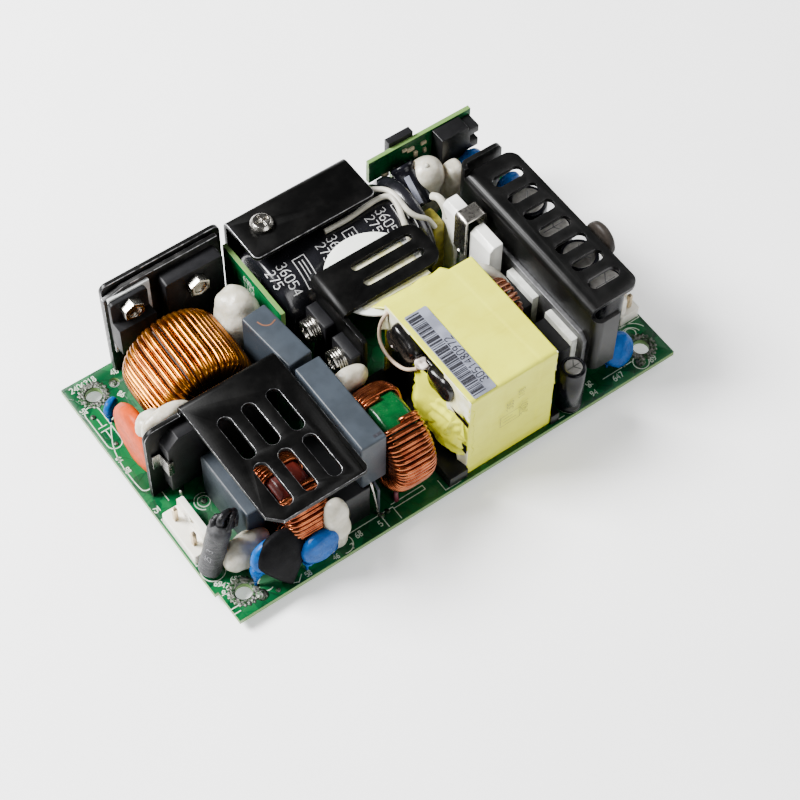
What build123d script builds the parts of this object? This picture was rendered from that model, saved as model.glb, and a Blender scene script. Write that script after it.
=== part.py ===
from build123d import *
import os
from math import cos, radians, sin, sqrt

# An open-frame power supply: a 5 x 3 inch circuit board with its parts on top. Millimetres.
# X runs along the board's long side, Y along its short side and Z up. The origin is the centre of
# the four mounting holes, on the board's underside.

# The board and its mounting holes
board_length = 127.0
board_width = 76.2
board_t = 1.6
hole_inset = 5.715
mount_hole_d = 4.0
notch_depth = 0.9
notch_length = 8.9
lamp_hole_d = 2.6
top = board_t
hole_pitch_x = board_length - 2 * hole_inset
hole_pitch_y = board_width - 2 * hole_inset

# Every part's place is measured from the board's left and rear edges
left, right = -board_length / 2, board_length / 2
front, rear = -board_width / 2, board_width / 2
lamp_hole_x, lamp_hole_y = left + 11.6, rear - 5.5

# Shared clearances and sheet sizes
gap = 0.3
sheet = 1.2
bend = 1.5
roof_h = 29.5
roof = top + roof_h
lead_d = 0.8

# Solder joints under the board
joint_d = 2.6
joint_h = 2.0

# Rear pair of plates, left of the capacitor
rear_left, rear_right = left + 14, left + 46.5
rear_h = 31.0
rear_corner = 2.0
device_plate_gap = 0.4
device_plate_left, device_plate_right = left + 13.6, left + 44.8
device_plate_h = 29.8
device_plate_foot = 4.5
foot_w = 5.0
plate_hole_w, plate_hole_h = 1.2, 4.0
plate_hole_x, plate_hole_z = left + 43.2, 18

# The two power devices on the rear plates, with their pad
pad_t = 0.8
pad_left, pad_w = left + 14.5, 11
pad_low, pad_high = 8.0, 28.7
device_tab_t = 1.3
device_w = 10.0
device_body_t = 4.4
device_body_h = 9.2
device_tab_h = 6.4
device_low = 12.6
device_a_x = left + 19.1
device_b_x = left + 35.7
device_b_w = 15.8
device_b_h = 20.6
device_b_t = 4.0
device_b_low = 7.0
device_b_screw_down = 4.2

# Screws
screw_d = 3.0
screw_head_d = 5.6
screw_head_h = 2.4
hex_head_across = 5.0
nut_h = 2.2
washer_d = 6.4
washer_t = 0.6

# The plate over the big capacitor
cover_left, cover_right = left + 48.2, left + 82.4
cover_front = rear - 14.1
cover_roof = 30.0
cover_corner = 1.6
cover_screw_x, cover_screw_y = left + 55, rear - 6.3

# The big capacitor, lying along X
bulk_d = 25.0
bulk_length = 42.0
bulk_left = left + 49.7
bulk_clear = 0.7
bulk_y = rear - sheet - bulk_clear - bulk_d / 2
bulk_groove = 0.9
bulk_groove_at = 3.6
bulk_bung_d = 20.0

# The wound boost choke, upright with its axis along Y
boost_r = 13.4
boost_w = 20.6
boost_x, boost_y = left + 23.2, rear - 22.2
boost_bore_r = 4.6
boost_turns = 46
boost_wire = 1.5
boost_open = 16.0
boost_round = 2.6
valley_depth = 0.36

# The two wound filter chokes, upright with their axes along X
filter_r = 12.9
filter_w = 11.4
filter_x, filter_y = left + 51.4, rear - 62.8
filter_bore_r = 4.4
filter_turns = 16
filter_sweep = 142.0
filter_wire = 1.2
input_r = 10.6
input_w = 11.4
input_x, input_y = left + 24.3, rear - 62.2
input_turns = 13
choke_lift = 0.7
choke_round = 2.0
core_round = 1.0

# The slotted plate with the bridge rectifier
bridge_left, bridge_right = left + 11.9, left + 37.4
bridge_front, bridge_rear = rear - 75.1, rear - 36.6
bridge_wing_left = left + 2.3
bridge_wing_h = 26.0
wing_corner = 3.0
bridge_chamfer = 3.0
slot_w = 3.4
slot_length = 12.6
slot_columns = (left + 18, left + 24.4, left + 30.9)
slot_rows = (rear - 51.7, rear - 66.1)
rectifier_left = left + 5.9
rectifier_w = 25.0
rectifier_t = 3.6
rectifier_low, rectifier_h = 4.2, 19.8
rectifier_cut = 3.0

# Box film capacitors
film_front = (left + 12.7, left + 17.5, rear - 62.5, rear - 43.3)
film_front_h = 15.6
film_upper = (left + 38.7, left + 45.5, rear - 70.1, rear - 43.7)
film_upper_h = 16.2
film_rear_x, film_rear_y = left + 41.3, rear - 32.6
film_rear_w, film_rear_l, film_rear_h = 6.8, 17.4, 15.0
film_rear_top = 27.2
film_rear_turn = 5.0
film_edge = 0.5

# Relay, under the upper film capacitor
relay = (left + 30.9, left + 40.7, rear - 70.7, rear - 50.7)
relay_h = 12.4

# The plate between the capacitor and the transformer
middle_left, middle_right = left + 55.8, left + 85
middle_front, middle_rear = rear - 38.2, rear - 25
middle_wall_front = rear - 46.3
middle_wall_h = 28.0
middle_corner = 4.0
middle_slot_w = 2.2
middle_slot_length = 17.0
middle_slot_x = left + 73.5
middle_slots_y = (rear - 28.6, rear - 33.7)
middle_devices_y = (rear - 31.1, rear - 41.7)
middle_device_w = 8.0
middle_device_h = 11.4
middle_device_t = 2.8
middle_screw_h = 19.0
disc_r = 12.0
disc_x, disc_y = left + 69.5, rear - 31.7
disc_t = 0.8
disc_cut_y = rear - 39.5

# The transformer
trafo_left, trafo_right = left + 65, left + 89.5
trafo_front, trafo_rear = rear - 74.9, rear - 41.7
trafo_low, trafo_h = 3.4, 30.4
tape_t = 0.5
yoke_t = 5.0
yoke_out = 0.9
leg_w = 9.6
side_leg_w = 4.8
rail_out = 5.2
rail_out_right = 2.4
tape_fold = 3.0
bobbin_t = 1.2
label_t = 0.12
label_w, label_l = 6.2, 27.0
label_x, label_y = left + 69.4, rear - 60.9

# The slotted output plate
output_left, output_right = left + 102.9, left + 117.4
output_front, output_rear = rear - 70.3, rear - 21.5
output_corner = 3.0
output_tab_h = 31.4
output_tab_right = left + 115.3
output_flange_right = left + 109.5
output_flange_low = 8.0
output_slots = 7
output_slot_pitch = 6.1
output_slot_first = rear - 27.7
output_slot_x = left + 111.2
output_slot_w = 3.2
output_slot_length = 8.6
spreader_t = 1.2
spreader_front, spreader_rear = rear - 70.1, rear - 33.5
spreader_h = 19.6
spreader_low = 3.0
insulator_t = 1.8
insulator_w = 10.2
insulator_h = 17.6
insulators_y = (rear - 48.3, rear - 63.1)
rectifier_body_t = 4.2
rectifier_body_h = 15.6
rectifier_body_low = 4.0
boot_front = (left + 96.5, left + 100.4, rear - 40.6, rear - 32.6)
boot_rear = (left + 96.1, left + 100.4, rear - 27.5, rear - 22.1)
boot_h = 25.2
boot_slope = 1.2
clip_t = 0.6
clip_left, clip_right = left + 95.4, left + 101.8
clip_front, clip_rear = rear - 32.2, rear - 27.9
clip_h = 27.4
clip_leg = 12.0

# Round output capacitors under the slotted plate
output_cap_d = 8.4
output_cap_h = 21.0
output_cap_x = left + 112.1
output_caps_y = (rear - 31.5, rear - 41.5, rear - 51.5, rear - 61.5)

# Upright boards
control_x = left + 46.4
control_t = 1.2
control_front, control_rear = rear - 26.7, rear - 1.9
control_h = 24.0
control_chip = (rear - 24.1, rear - 12.1, 8, 19)
control_chip_t = 1.5
standby_left, standby_right = left + 87.3, left + 117.9
standby_y = rear - 2.9
standby_h = 27.4
standby_foot_clear = 2.6
standby_chip = (left + 94.1, left + 101.3, 19, 28.8)
standby_chip_t = 2.0
standby_cap_d = 6.4
standby_cap_length = 11.0
standby_cap_x, standby_cap_z = left + 95.5, 23
standby_cap_droop = 36.0
socket_x0, socket_x1 = left + 106.1, left + 114.1
socket_low, socket_high = 17.0, 27.0
socket_t = 4.4
socket_prong = 3.2

# Connectors
inlet = (left + 0.6, left + 6.1, rear - 58.5, rear - 44.5)
inlet_base_h = 3.4
inlet_wall_t = 1.6
inlet_wall_h = 7.8
outlet = (left + 120.9, left + 126.7, rear - 62.9, rear - 54.1)
outlet_base_h = 3.4
outlet_wall_h = 9.6
pin_side = 1.1
pin_h = 8.0

# Discs and small parts
fuse_d = 5.6
fuse_length = 16.5
fuse_x, fuse_y = left + 2.5, rear - 61.5
fuse_lean = 14.0
orange_d = 16.8
orange_t = 4.4
orange_x, orange_y = left + 5.7, rear - 27.6
orange_z = 9.6
grey_disc = (left + 13.2, rear - 74.5, 9, 5.8, 3)
blue_front_left = (left + 10.9, rear - 71, 7.4, 4.4, 2.6)
blue_front = (left + 24.2, rear - 74.5, 6.6, 4.9, 3)
blue_rear = (left + 114.7, rear - 10.2, 17, 4.2, 2.8)
blue_right = (left + 112.4, rear - 70.1, 4.9, 4.4, 2.8)
blue_left = (left + 6.1, rear - 13.7, 4.6, 2.4, 2.2)
brown_disc_r = 4.6
brown_disc_t = 3.0
brown_disc_x, brown_disc_y, brown_disc_z = left + 119.9, rear - 52.9, 25.6
small_cap_d = 6.3
small_cap_h = 15.4
small_cap_x, small_cap_y = left + 96.9, rear - 72.9
bead_sides = 14
output_choke_r, output_choke_w = 5.8, 4.0
output_choke_x, output_choke_y, output_choke_z = left + 93.4, rear - 48.9, 16


def panel(plane, points, thickness, radius=0.0, rounded=()):
    """A flat sheet: the closed outline on a plane, its chosen corners rounded, made thick."""
    face = Polygon(*points, align=None)
    if radius > 0 and rounded:
        spots = [Vector(*points[i]) for i in rounded]
        picked = [v for v in face.vertices() if min((v.center() - s).length for s in spots) < 1e-6]
        face = fillet(picked, radius)
    return extrude(plane * face, amount=thickness, dir=plane.z_dir)


def rectangle(a0, a1, b0, b1):
    """The corners of a rectangle, in order."""
    return [(a0, b0), (a1, b0), (a1, b1), (a0, b1)]


def facing_front(y):
    """The upright plane at y: its own x is X, its own y is Z, and it grows towards -Y."""
    return Plane(origin=(0, y, 0), x_dir=(1, 0, 0), z_dir=(0, -1, 0))


def facing_right(x):
    """The upright plane at x: its own x is Y, its own y is Z, and it grows towards +X."""
    return Plane(origin=(x, 0, 0), x_dir=(0, 1, 0), z_dir=(1, 0, 0))


def level(z):
    """The level plane at z."""
    return Plane.XY.offset(z)


def brick(x0, x1, y0, y1, z0, z1, edge=0.0):
    """A moulded box between two corners, its upright edges rounded."""
    box = panel(level(z0), rectangle(x0, x1, y0, y1), z1 - z0)
    return fillet(box.edges().filter_by(Axis.Z), edge) if edge > 0 else box


def rod(start, end, d):
    """A straight round rod between two points."""
    axis = Vector(*end) - Vector(*start)
    return extrude(Plane(origin=start, z_dir=axis) * Circle(d / 2), amount=axis.length)


def lead(x, y, high, d=lead_d):
    """An upright eight-sided lead from the board's top to a height."""
    return extrude(level(top) * Pos(x, y) * RegularPolygon(d / 2, 8), amount=high - top)


def bent_strip(points, thickness, radius):
    """The section of a folded strip: its centre line with round bends, made as thick as the sheet."""
    return trace(FilletPolyline(*points, radius=radius), thickness)


def main_board():
    """The circuit board: a rectangle with one stepped corner, its mounting holes and lamp hole."""
    outline = Rectangle(board_length, board_width)
    outline -= Pos(left, front) * Rectangle(2 * notch_depth, 2 * notch_length)
    for x in (-hole_pitch_x / 2, hole_pitch_x / 2):
        for y in (-hole_pitch_y / 2, hole_pitch_y / 2):
            outline -= Pos(x, y) * Circle(mount_hole_d / 2)
    outline -= Pos(lamp_hole_x, lamp_hole_y) * Circle(lamp_hole_d / 2)
    return extrude(outline, amount=board_t)


def joint_places():
    """Where leads come through the board, each taken from the part that they belong to."""
    relay_mid = (relay[0] + relay[1]) / 2
    upper_mid = (film_upper[0] + film_upper[1]) / 2
    front_mid = (film_front[0] + film_front[1]) / 2
    places = [(boost_x + dx, boost_y + dy) for dx in (-4.0, 4.0) for dy in (-8.0, 8.0)]
    places += [(filter_x + dx, filter_y + dy) for dx in (-4.4, 4.4) for dy in (-5.0, 5.0)]
    places += [(input_x + dx, input_y + dy) for dx in (-4.4, 4.4) for dy in (-4.0, 4.0)]
    places += [(bulk_left + bulk_length + 1.6, bulk_y + dy) for dy in (-5.0, 5.0)]
    places += [(x, bridge_rear - sheet - 2) for x in rectifier_leads_x()]
    places += [(relay_mid + dx, relay[2] + dy) for dx in (-3.0, 3.0) for dy in (3.0, 17.0)]
    places += [(upper_mid, film_upper[2] - 1.6), (upper_mid, film_upper[3] + 1.4)]
    places += [(front_mid, film_front[2] + 2.0), (front_mid, film_front[3] - 2.0)]
    places += [(trafo_left - rail_out / 2, trafo_front + 4 + 6 * i) for i in range(5)]
    places += [(trafo_right + rail_out_right / 2, trafo_front + 4 + 6 * i) for i in (0, 1, 3, 4)]
    places += [(output_cap_x + dx, y) for y in output_caps_y for dx in (-1.9, 1.9)]
    places += [(small_cap_x + dx, small_cap_y) for dx in (-1.3, 1.3)]
    places += [(standby_right - across, standby_y - 3.0) for across in (2.4, 7.4, 21.0)]
    places += [(device_a_x + dx, rear - 4.6) for dx in (-2.5, 0.0, 2.5)]
    places += [(device_b_x + dx, rear - 4.6) for dx in (-5.4, 0.0, 5.4)]
    return places


def solder_joints():
    """Eight-sided cones of solder round the lead ends, on the underside."""
    tip = level(-joint_h) * RegularPolygon(joint_d / 5, 8)
    foot = loft([RegularPolygon(joint_d / 2, 8), tip], ruled=True)
    return [Pos(x, y, 0) * foot for x, y in joint_places()]


def rear_heatsink():
    """The outer of the two rear plates, flush with the board's rear edge."""
    points = rectangle(rear_left, rear_right, top, top + rear_h)
    return panel(facing_front(rear), points, sheet, rear_corner, (2, 3))


def device_plate_y():
    """The rear face of the inner plate."""
    return rear - sheet - device_plate_gap


def rear_device_plate():
    """The inner plate, on two feet, with its cut corners, slot and screw holes."""
    low, high = top + device_plate_foot, top + device_plate_h
    x0, x1 = device_plate_left, device_plate_right
    points = [
        (x0, top), (x0 + foot_w, top), (x0 + foot_w, low), (x1 - 2 * foot_w, low),
        (x1 - 2 * foot_w, top), (x1 - foot_w, top), (x1 - foot_w, low), (x1 - 3.6, low),
        (x1, low + 2.6), (x1, high), (x0 + 5.4, high), (x0, high - 1.6),
    ]
    plate = panel(facing_front(device_plate_y()), points, sheet)
    slot = Pos(plate_hole_x, device_plate_y() - sheet / 2, top + plate_hole_z)
    plate -= slot * Box(plate_hole_w, 3 * sheet, plate_hole_h)
    for x, z in rear_screw_places():
        start = Vector(x, device_plate_y() + gap, z)
        plate -= rod(start, start - Vector(0, 2 * sheet, 0), screw_d + gap)
    return plate


def rear_screw_places():
    """The X and Z of the two rear screws: through a tab's hole, and through a body's hole."""
    tab_z = top + device_low + device_body_h + device_tab_h / 2
    body_z = top + device_b_low + device_b_h - device_b_screw_down
    return [(device_a_x, tab_z), (device_b_x, body_z)]


def insulating_pad():
    """The pale pad behind the left device."""
    points = rectangle(pad_left, pad_left + pad_w, top + pad_low, top + pad_high)
    pad = panel(facing_front(device_plate_y() - sheet), points, pad_t)
    x, z = rear_screw_places()[0]
    y = device_plate_y() - sheet
    return pad - rod((x, y + gap, z), (x, y - 2 * pad_t, z), screw_d + gap)


def tab_device(face_y, x, low, width):
    """A flat device with a metal tab, its back on the plane at face_y, and its three leads."""
    tab_top = low + device_body_h + device_tab_h
    points = rectangle(x - width / 2, x + width / 2, low, tab_top)
    body = panel(facing_front(face_y), points, device_tab_t, 1.0, (2, 3))
    case = rectangle(x - width / 2, x + width / 2, low, low + device_body_h)
    body += panel(facing_front(face_y), case, device_body_t)
    hole_z = low + device_body_h + device_tab_h / 2
    body -= rod((x, face_y + gap, hole_z), (x, face_y - 2 * device_tab_t, hole_z), screw_d + gap)
    for dx in (-2.54, 0, 2.54):
        y = face_y - device_body_t / 2
        body += lead(x + dx, y, low)
    return body


def rear_device_left():
    """The device on the pad."""
    return tab_device(device_plate_y() - sheet - pad_t, device_a_x, top + device_low, device_w)


def rear_device_right():
    """The larger moulded device, screwed through its body."""
    face_y = device_plate_y() - sheet
    low = top + device_b_low
    x = device_b_x
    points = rectangle(x - device_b_w / 2, x + device_b_w / 2, low, low + device_b_h)
    body = panel(facing_front(face_y), points, device_b_t, 0.8, (0, 1, 2, 3))
    hole_z = rear_screw_places()[1][1]
    body -= rod((x, face_y + gap, hole_z), (x, face_y - 2 * device_b_t, hole_z), screw_d + gap)
    for dx in (-5.45, 0, 5.45):
        y = face_y - device_b_t / 2
        body += lead(x + dx, y, low)
    return body


def hex_screw(seat, direction, length, head_h=screw_head_h):
    """A hexagon-headed screw with its seat at a point, its shank along a direction."""
    plane = Plane(origin=seat, z_dir=direction)
    shank = extrude(plane * Circle(screw_d / 2), amount=length)
    head = extrude(plane * RegularPolygon(hex_head_across / 2, 6, major_radius=False), amount=-head_h)
    dish = extrude(plane.offset(-head_h) * Circle(hex_head_across / 2 - 0.9), amount=0.6)
    return shank + head - dish


def rear_screws():
    """The two hexagon-headed screws that hold the rear devices."""
    (xa, za), (xb, zb) = rear_screw_places()
    face = device_plate_y() - sheet
    seat_a = face - pad_t - device_tab_t
    seat_b = face - device_b_t
    first = hex_screw((xa, seat_a, za), (0, 1, 0), rear - sheet - gap - seat_a)
    second = hex_screw((xb, seat_b, zb), (0, 1, 0), rear - sheet - gap - seat_b)
    return [first, second]


def capacitor_cover():
    """The folded plate over the big capacitor: a rear wall and a roof, one sheet."""
    wall_y = rear - sheet / 2
    roof_z = top + cover_roof - sheet / 2
    section = bent_strip([(wall_y, top), (wall_y, roof_z), (cover_front, roof_z)], sheet, bend)
    cover = extrude(facing_right(cover_left) * section, amount=cover_right - cover_left)
    corners = [e for e in cover.edges().filter_by(Axis.Z) if e.center().Y < cover_front + 1]
    cover = fillet(corners, cover_corner)
    above = (cover_screw_x, cover_screw_y, top + cover_roof + 1)
    below = (cover_screw_x, cover_screw_y, top + cover_roof - 3)
    return cover - rod(above, below, screw_d + gap)


def cover_screw():
    """The round-headed screw in the roof."""
    place = level(top + cover_roof) * Pos(cover_screw_x, cover_screw_y)
    high = 0.7 * screw_head_h
    head = extrude(Circle(screw_head_d / 2), amount=high)
    head = chamfer(head.edges().sort_by(Axis.Z)[-1], 0.7)
    shank = extrude(Circle(screw_d / 2), amount=-sheet - nut_h)
    across = Box(3.4, 0.7, 1.6)
    return place * (head + shank - Pos(0, 0, high) * (across + Rot(0, 0, 90) * across))


def cover_nut():
    """The nut under the roof."""
    z = top + cover_roof - sheet
    place = Pos(cover_screw_x, cover_screw_y)
    nut = extrude(level(z) * place * RegularPolygon(hex_head_across / 2, 6, major_radius=False), amount=-nut_h)
    return nut - extrude(level(z + 1) * place * Circle(screw_d / 2), amount=-nut_h - 2)


def bulk_capacitor():
    """The big can, turned about its own axis: sleeve, rolled groove and a recessed rubber end."""
    r = bulk_d / 2
    a, b = bulk_length - bulk_groove_at, bulk_length
    bung_r, bung_x = bulk_bung_d / 2, b - 0.8
    outline = [
        (0, 0), (r - 1.0, 0), (r, 1.0), (r, a - 1.2), (r - bulk_groove, a), (r, a + 1.2),
        (r, b - 0.6), (r - 0.6, b), (bung_r, b), (bung_r, bung_x), (0, bung_x),
    ]
    turned = revolve(Plane.XZ * Polygon(*outline, align=None), Axis.Z)
    centre = Plane(origin=(bulk_left, bulk_y, top + gap + r), z_dir=(1, 0, 0))
    can = centre * turned
    for dy in (-5.0, 5.0):
        x = bulk_left + bulk_length + 1.6
        y, z = bulk_y + dy, top + gap + r
        path = FilletPolyline((bulk_left + bulk_length - 1.4, y, z), (x, y, z), (x, y, top), radius=1.2)
        can += sweep(Plane(origin=path @ 0, z_dir=path % 0) * RegularPolygon(lead_d / 2, 6), path)
    return can


def round_corner(x, y, r, start):
    """Four points round a corner of radius r, a quarter turn from the start angle."""
    return [(x + r * cos(radians(start + 30 * i)), y + r * sin(radians(start + 30 * i))) for i in range(4)]


def ring_section(outer, inner, width, edge):
    """A ring about Z with cut rims, as wide as given and centred on z = 0."""
    half = width / 2
    outline = [
        (inner, half - edge), (inner, edge - half), (inner + edge, -half), (outer - edge, -half),
        (outer, edge - half), (outer, half - edge), (outer - edge, half), (inner + edge, half),
    ]
    return revolve(Plane.XZ * Polygon(*outline, align=None), Axis.Z)


def turn_section(outer, bore, width, edge, angle):
    """The closed outline of the coil where one radial plane cuts it, its outer corners rounded."""
    c, s = cos(radians(angle)), sin(radians(angle))
    plane = Plane(origin=(0, 0, 0), x_dir=(c, s, 0), z_dir=(-s, c, 0))
    half = width / 2
    outline = [(bore, half), (bore, -half)]
    outline += round_corner(outer - edge, edge - half, edge, -90)
    outline += round_corner(outer - edge, half - edge, edge, 0)
    return plane * Polygon(*outline, align=None)


def wound_sector(outer, bore, width, wire, turns, first, sweep_angle, edge, room):
    """Turns of wire side by side round a ring: a ruled loft through the crest of each turn and the
    valley between each two, hollowed by the room that the ring needs."""
    sections = []
    for i in range(2 * turns + 1):
        sink = 0 if i % 2 else wire * valley_depth
        angle = first + sweep_angle * i / (2 * turns)
        sections.append(turn_section(outer - sink, bore, width - 2 * sink, edge, angle))
    return loft(sections, ruled=True) - room


def boost_core_ring():
    """The powder ring that the boost choke is wound on."""
    return ring_section(boost_r - boost_wire - 0.2, boost_bore_r + 1.7, boost_w - 2 * boost_wire - 0.4, 0.6)


def boost_room():
    """The room that the winding leaves for its ring."""
    return ring_section(boost_r - boost_wire, boost_bore_r + 1.5, boost_w - 2 * boost_wire, 0.6)


def boost_place():
    """The boost choke's own frame: its axis along Y, angle 90 up."""
    return Plane(origin=(boost_x, boost_y, top + choke_lift + boost_r), x_dir=(1, 0, 0), z_dir=(0, -1, 0))


def boost_choke_winding():
    """One layer of thick wire nearly all the way round, and its two ends down to the board."""
    coil = wound_sector(
        boost_r, boost_bore_r, boost_w, boost_wire, boost_turns,
        270 + boost_open / 2, 360 - boost_open, boost_round, boost_room(),
    )
    return boost_place() * coil


def choke_ring(r, bore, width, wire, spare):
    """A filter choke's ring, smaller than its room by a spare on each side."""
    return ring_section(r - wire - spare, bore + wire + spare, width - 2 * wire - 2 * spare, core_round)


def choke_place(x, y, r):
    """A filter choke's own frame: its axis along X, angle 90 up."""
    return Plane(origin=(x, y, top + choke_lift + r), x_dir=(0, 1, 0), z_dir=(1, 0, 0))


def choke_windings(r, bore, width, wire, turns):
    """The two windings, one in front and one behind, apart at the top and at the bottom."""
    room = choke_ring(r, bore, width, wire, 0.0)
    first = -filter_sweep / 2
    starts = (180 + first, first)
    return [wound_sector(r, bore, width, wire, turns, a, filter_sweep, choke_round, room) for a in starts]


def bridge_heatsink():
    """The folded, slotted plate: a rear wall with a wing, a bend and a roof with six long slots."""
    y_mid = bridge_rear - sheet / 2
    z_mid = roof - sheet / 2
    section = bent_strip([(y_mid, top), (y_mid, z_mid), (bridge_front, z_mid)], sheet, bend)
    plate = extrude(facing_right(bridge_left) * section, amount=bridge_right - bridge_left)
    wing = panel(
        facing_front(bridge_rear), rectangle(bridge_wing_left, bridge_left, top, top + bridge_wing_h),
        sheet, wing_corner, (3,),
    )
    corner = Pos(bridge_left, bridge_front, z_mid) * Rot(0, 0, 45)
    plate = plate + wing - corner * Box(bridge_chamfer * sqrt(2), bridge_chamfer * sqrt(2), 2 * sheet)
    upright = [e for e in plate.edges().filter_by(Axis.Z) if e.center().X > bridge_right - 0.01]
    plate = fillet([e for e in upright if e.center().Y < bridge_front + 0.01], cover_corner)
    slot = extrude(Rot(0, 0, 90) * SlotOverall(slot_length, slot_w), amount=2 * sheet, both=True)
    for x in slot_columns:
        for y in slot_rows:
            plate -= Pos(x, y, z_mid) * slot
    return plate


def rectifier_leads_x():
    """Where the rectifier's four leads stand along X."""
    return [rectifier_left + rectifier_w * (0.12 + 0.25 * i) for i in range(4)]


def bridge_rectifier():
    """The flat bridge rectifier against the wall, one upper corner cut off, with four leads."""
    face_y = bridge_rear - sheet
    x0, x1 = rectifier_left, rectifier_left + rectifier_w
    low, high = top + rectifier_low, top + rectifier_low + rectifier_h
    points = [(x0, low), (x1, low), (x1, high), (x0 + rectifier_cut, high), (x0, high - rectifier_cut)]
    body = panel(facing_front(face_y), points, rectifier_t)
    for x in rectifier_leads_x():
        body += lead(x, face_y - 2, low, 1.3 * lead_d)
    return body


def rectifier_clip():
    """The bent spring-steel clip that presses the rectifier on the wall's wing."""
    x0 = bridge_wing_left + 1.0
    face_y = bridge_rear - sheet
    front_y = face_y - rectifier_t
    points = [(x0, face_y), (x0 + 2.2, face_y), (x0 + 2.2, front_y), (x0 + 3.4, front_y)]
    line = [(x, y - clip_t / 2) for x, y in points]
    section = trace(Polyline(*line), clip_t)
    return extrude(level(top + 12.0) * section, amount=5.0)


def film_box(x0, x1, y0, y1, low, high):
    """A moulded capacitor box with rounded edges."""
    box = panel(level(low), rectangle(x0, x1, y0, y1), high - low)
    return fillet(box.edges().filter_by(Axis.Z) + box.faces().sort_by(Axis.Z)[-1].edges(), film_edge)


def film_capacitor_front():
    """The thin box beside the slotted plate."""
    return film_box(*film_front, top, top + film_front_h)


def film_capacitor_upper():
    """The long box that stands over the relay on its two leads."""
    low = top + relay_h + gap
    box = film_box(*film_upper, low, low + film_upper_h)
    x = (film_upper[0] + film_upper[1]) / 2
    for y, foot in ((film_upper[2] + 2, film_upper[2] - 1.6), (film_upper[3] - 2, film_upper[3] + 1.4)):
        bow = FilletPolyline((x, y, low + 0.6), (x, foot, low - 1.6), (x, foot, top), radius=0.8)
        box += sweep(Plane(origin=bow @ 0, z_dir=bow % 0) * RegularPolygon(lead_d / 2, 6), bow)
    return box


def film_capacitor_rear():
    """The short box, turned a little, on two long leads."""
    high = top + film_rear_top
    low = high - film_rear_h
    box = film_box(-film_rear_w / 2, film_rear_w / 2, -film_rear_l / 2, film_rear_l / 2, low, high)
    for y in (-film_rear_l / 2 + 2.4, film_rear_l / 2 - 2.4):
        box += lead(0, y, low + 0.5)
    return Pos(film_rear_x, film_rear_y, 0) * Rot(0, 0, film_rear_turn) * box


def relay_block():
    """The relay: a plain moulded case."""
    return brick(*relay, top, top + relay_h, 0.6)


def middle_heatsink():
    """The plate beside the transformer: an upright wall, a bend and a roof with two long slots."""
    x_mid = middle_left + sheet / 2
    z_mid = roof - sheet / 2
    section = bent_strip([(x_mid, top), (x_mid, z_mid), (middle_right, z_mid)], sheet, bend)
    plate = extrude(facing_front(middle_rear) * section, amount=middle_rear - middle_front)
    wall = rectangle(middle_wall_front, middle_front, top, top + middle_wall_h)
    plate += panel(facing_right(middle_left), wall, sheet, 1.0, (3,))
    keep = bulk_y - bulk_d / 2 - gap
    high = top + bulk_d + 2 * gap
    plate -= brick(middle_left - 1, middle_left + 2 * bend, keep, middle_rear + 1, top - 1, high)
    far = [e for e in plate.edges().filter_by(Axis.Z) if e.center().X > middle_right - 0.01]
    plate = fillet(far, middle_corner)
    slot = extrude(SlotOverall(middle_slot_length, middle_slot_w), amount=2 * sheet, both=True)
    for y in middle_slots_y:
        plate -= Pos(middle_slot_x, y, z_mid) * slot
    z = top + middle_screw_h
    for y in middle_devices_y:
        plate -= rod((middle_left - 1, y, z), (middle_left + 2, y, z), screw_d + gap)
    return plate


def middle_devices():
    """The two devices on the wall's left face."""
    z = top + middle_screw_h
    low, high = z + 3.8 - middle_device_h, z + 3.8
    bodies = []
    for y in middle_devices_y:
        x0 = middle_left - middle_device_t
        outline = rectangle(y - middle_device_w / 2, y + middle_device_w / 2, low, high)
        body = panel(facing_right(x0), outline, middle_device_t, 0.6, (2, 3))
        body -= rod((x0 - 1, y, z), (middle_left + 1, y, z), screw_d + gap)
        for dy in (-2.3, 0, 2.3):
            x = middle_left - middle_device_t / 2
            body += lead(x, y + dy, low)
        bodies.append(body)
    return bodies


def middle_screws():
    """Their two hexagon-headed screws."""
    seat = middle_left - middle_device_t - washer_t
    z = top + middle_screw_h
    length = washer_t + middle_device_t + sheet + 1.0
    return [hex_screw((seat, y, z), (1, 0, 0), length) for y in middle_devices_y]


def middle_washers():
    """Their two spring washers."""
    seat = middle_left - middle_device_t
    rings = []
    for y in middle_devices_y:
        plane = Plane(origin=(seat, y, top + middle_screw_h), z_dir=(-1, 0, 0))
        ring = Circle(washer_d / 2) - Circle(screw_d / 2 + gap / 2)
        rings.append(extrude(plane * ring, amount=washer_t))
    return rings


def insulating_disc():
    """The pale insulating disc stuck under the middle roof, cut straight in front."""
    z = roof - sheet
    disc = Circle(disc_r) - Pos(0, disc_cut_y - disc_y - disc_r) * Rectangle(2 * disc_r, 2 * disc_r)
    disc -= Pos(middle_left + sheet + bend - disc_x - disc_r, 0) * Rectangle(2 * disc_r, 2 * disc_r)
    return extrude(level(z) * Pos(disc_x, disc_y) * disc, amount=-disc_t)


def trafo_mid():
    """The transformer's middle, in Y and Z."""
    return (trafo_front + trafo_rear) / 2, top + (trafo_low + trafo_h) / 2


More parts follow.
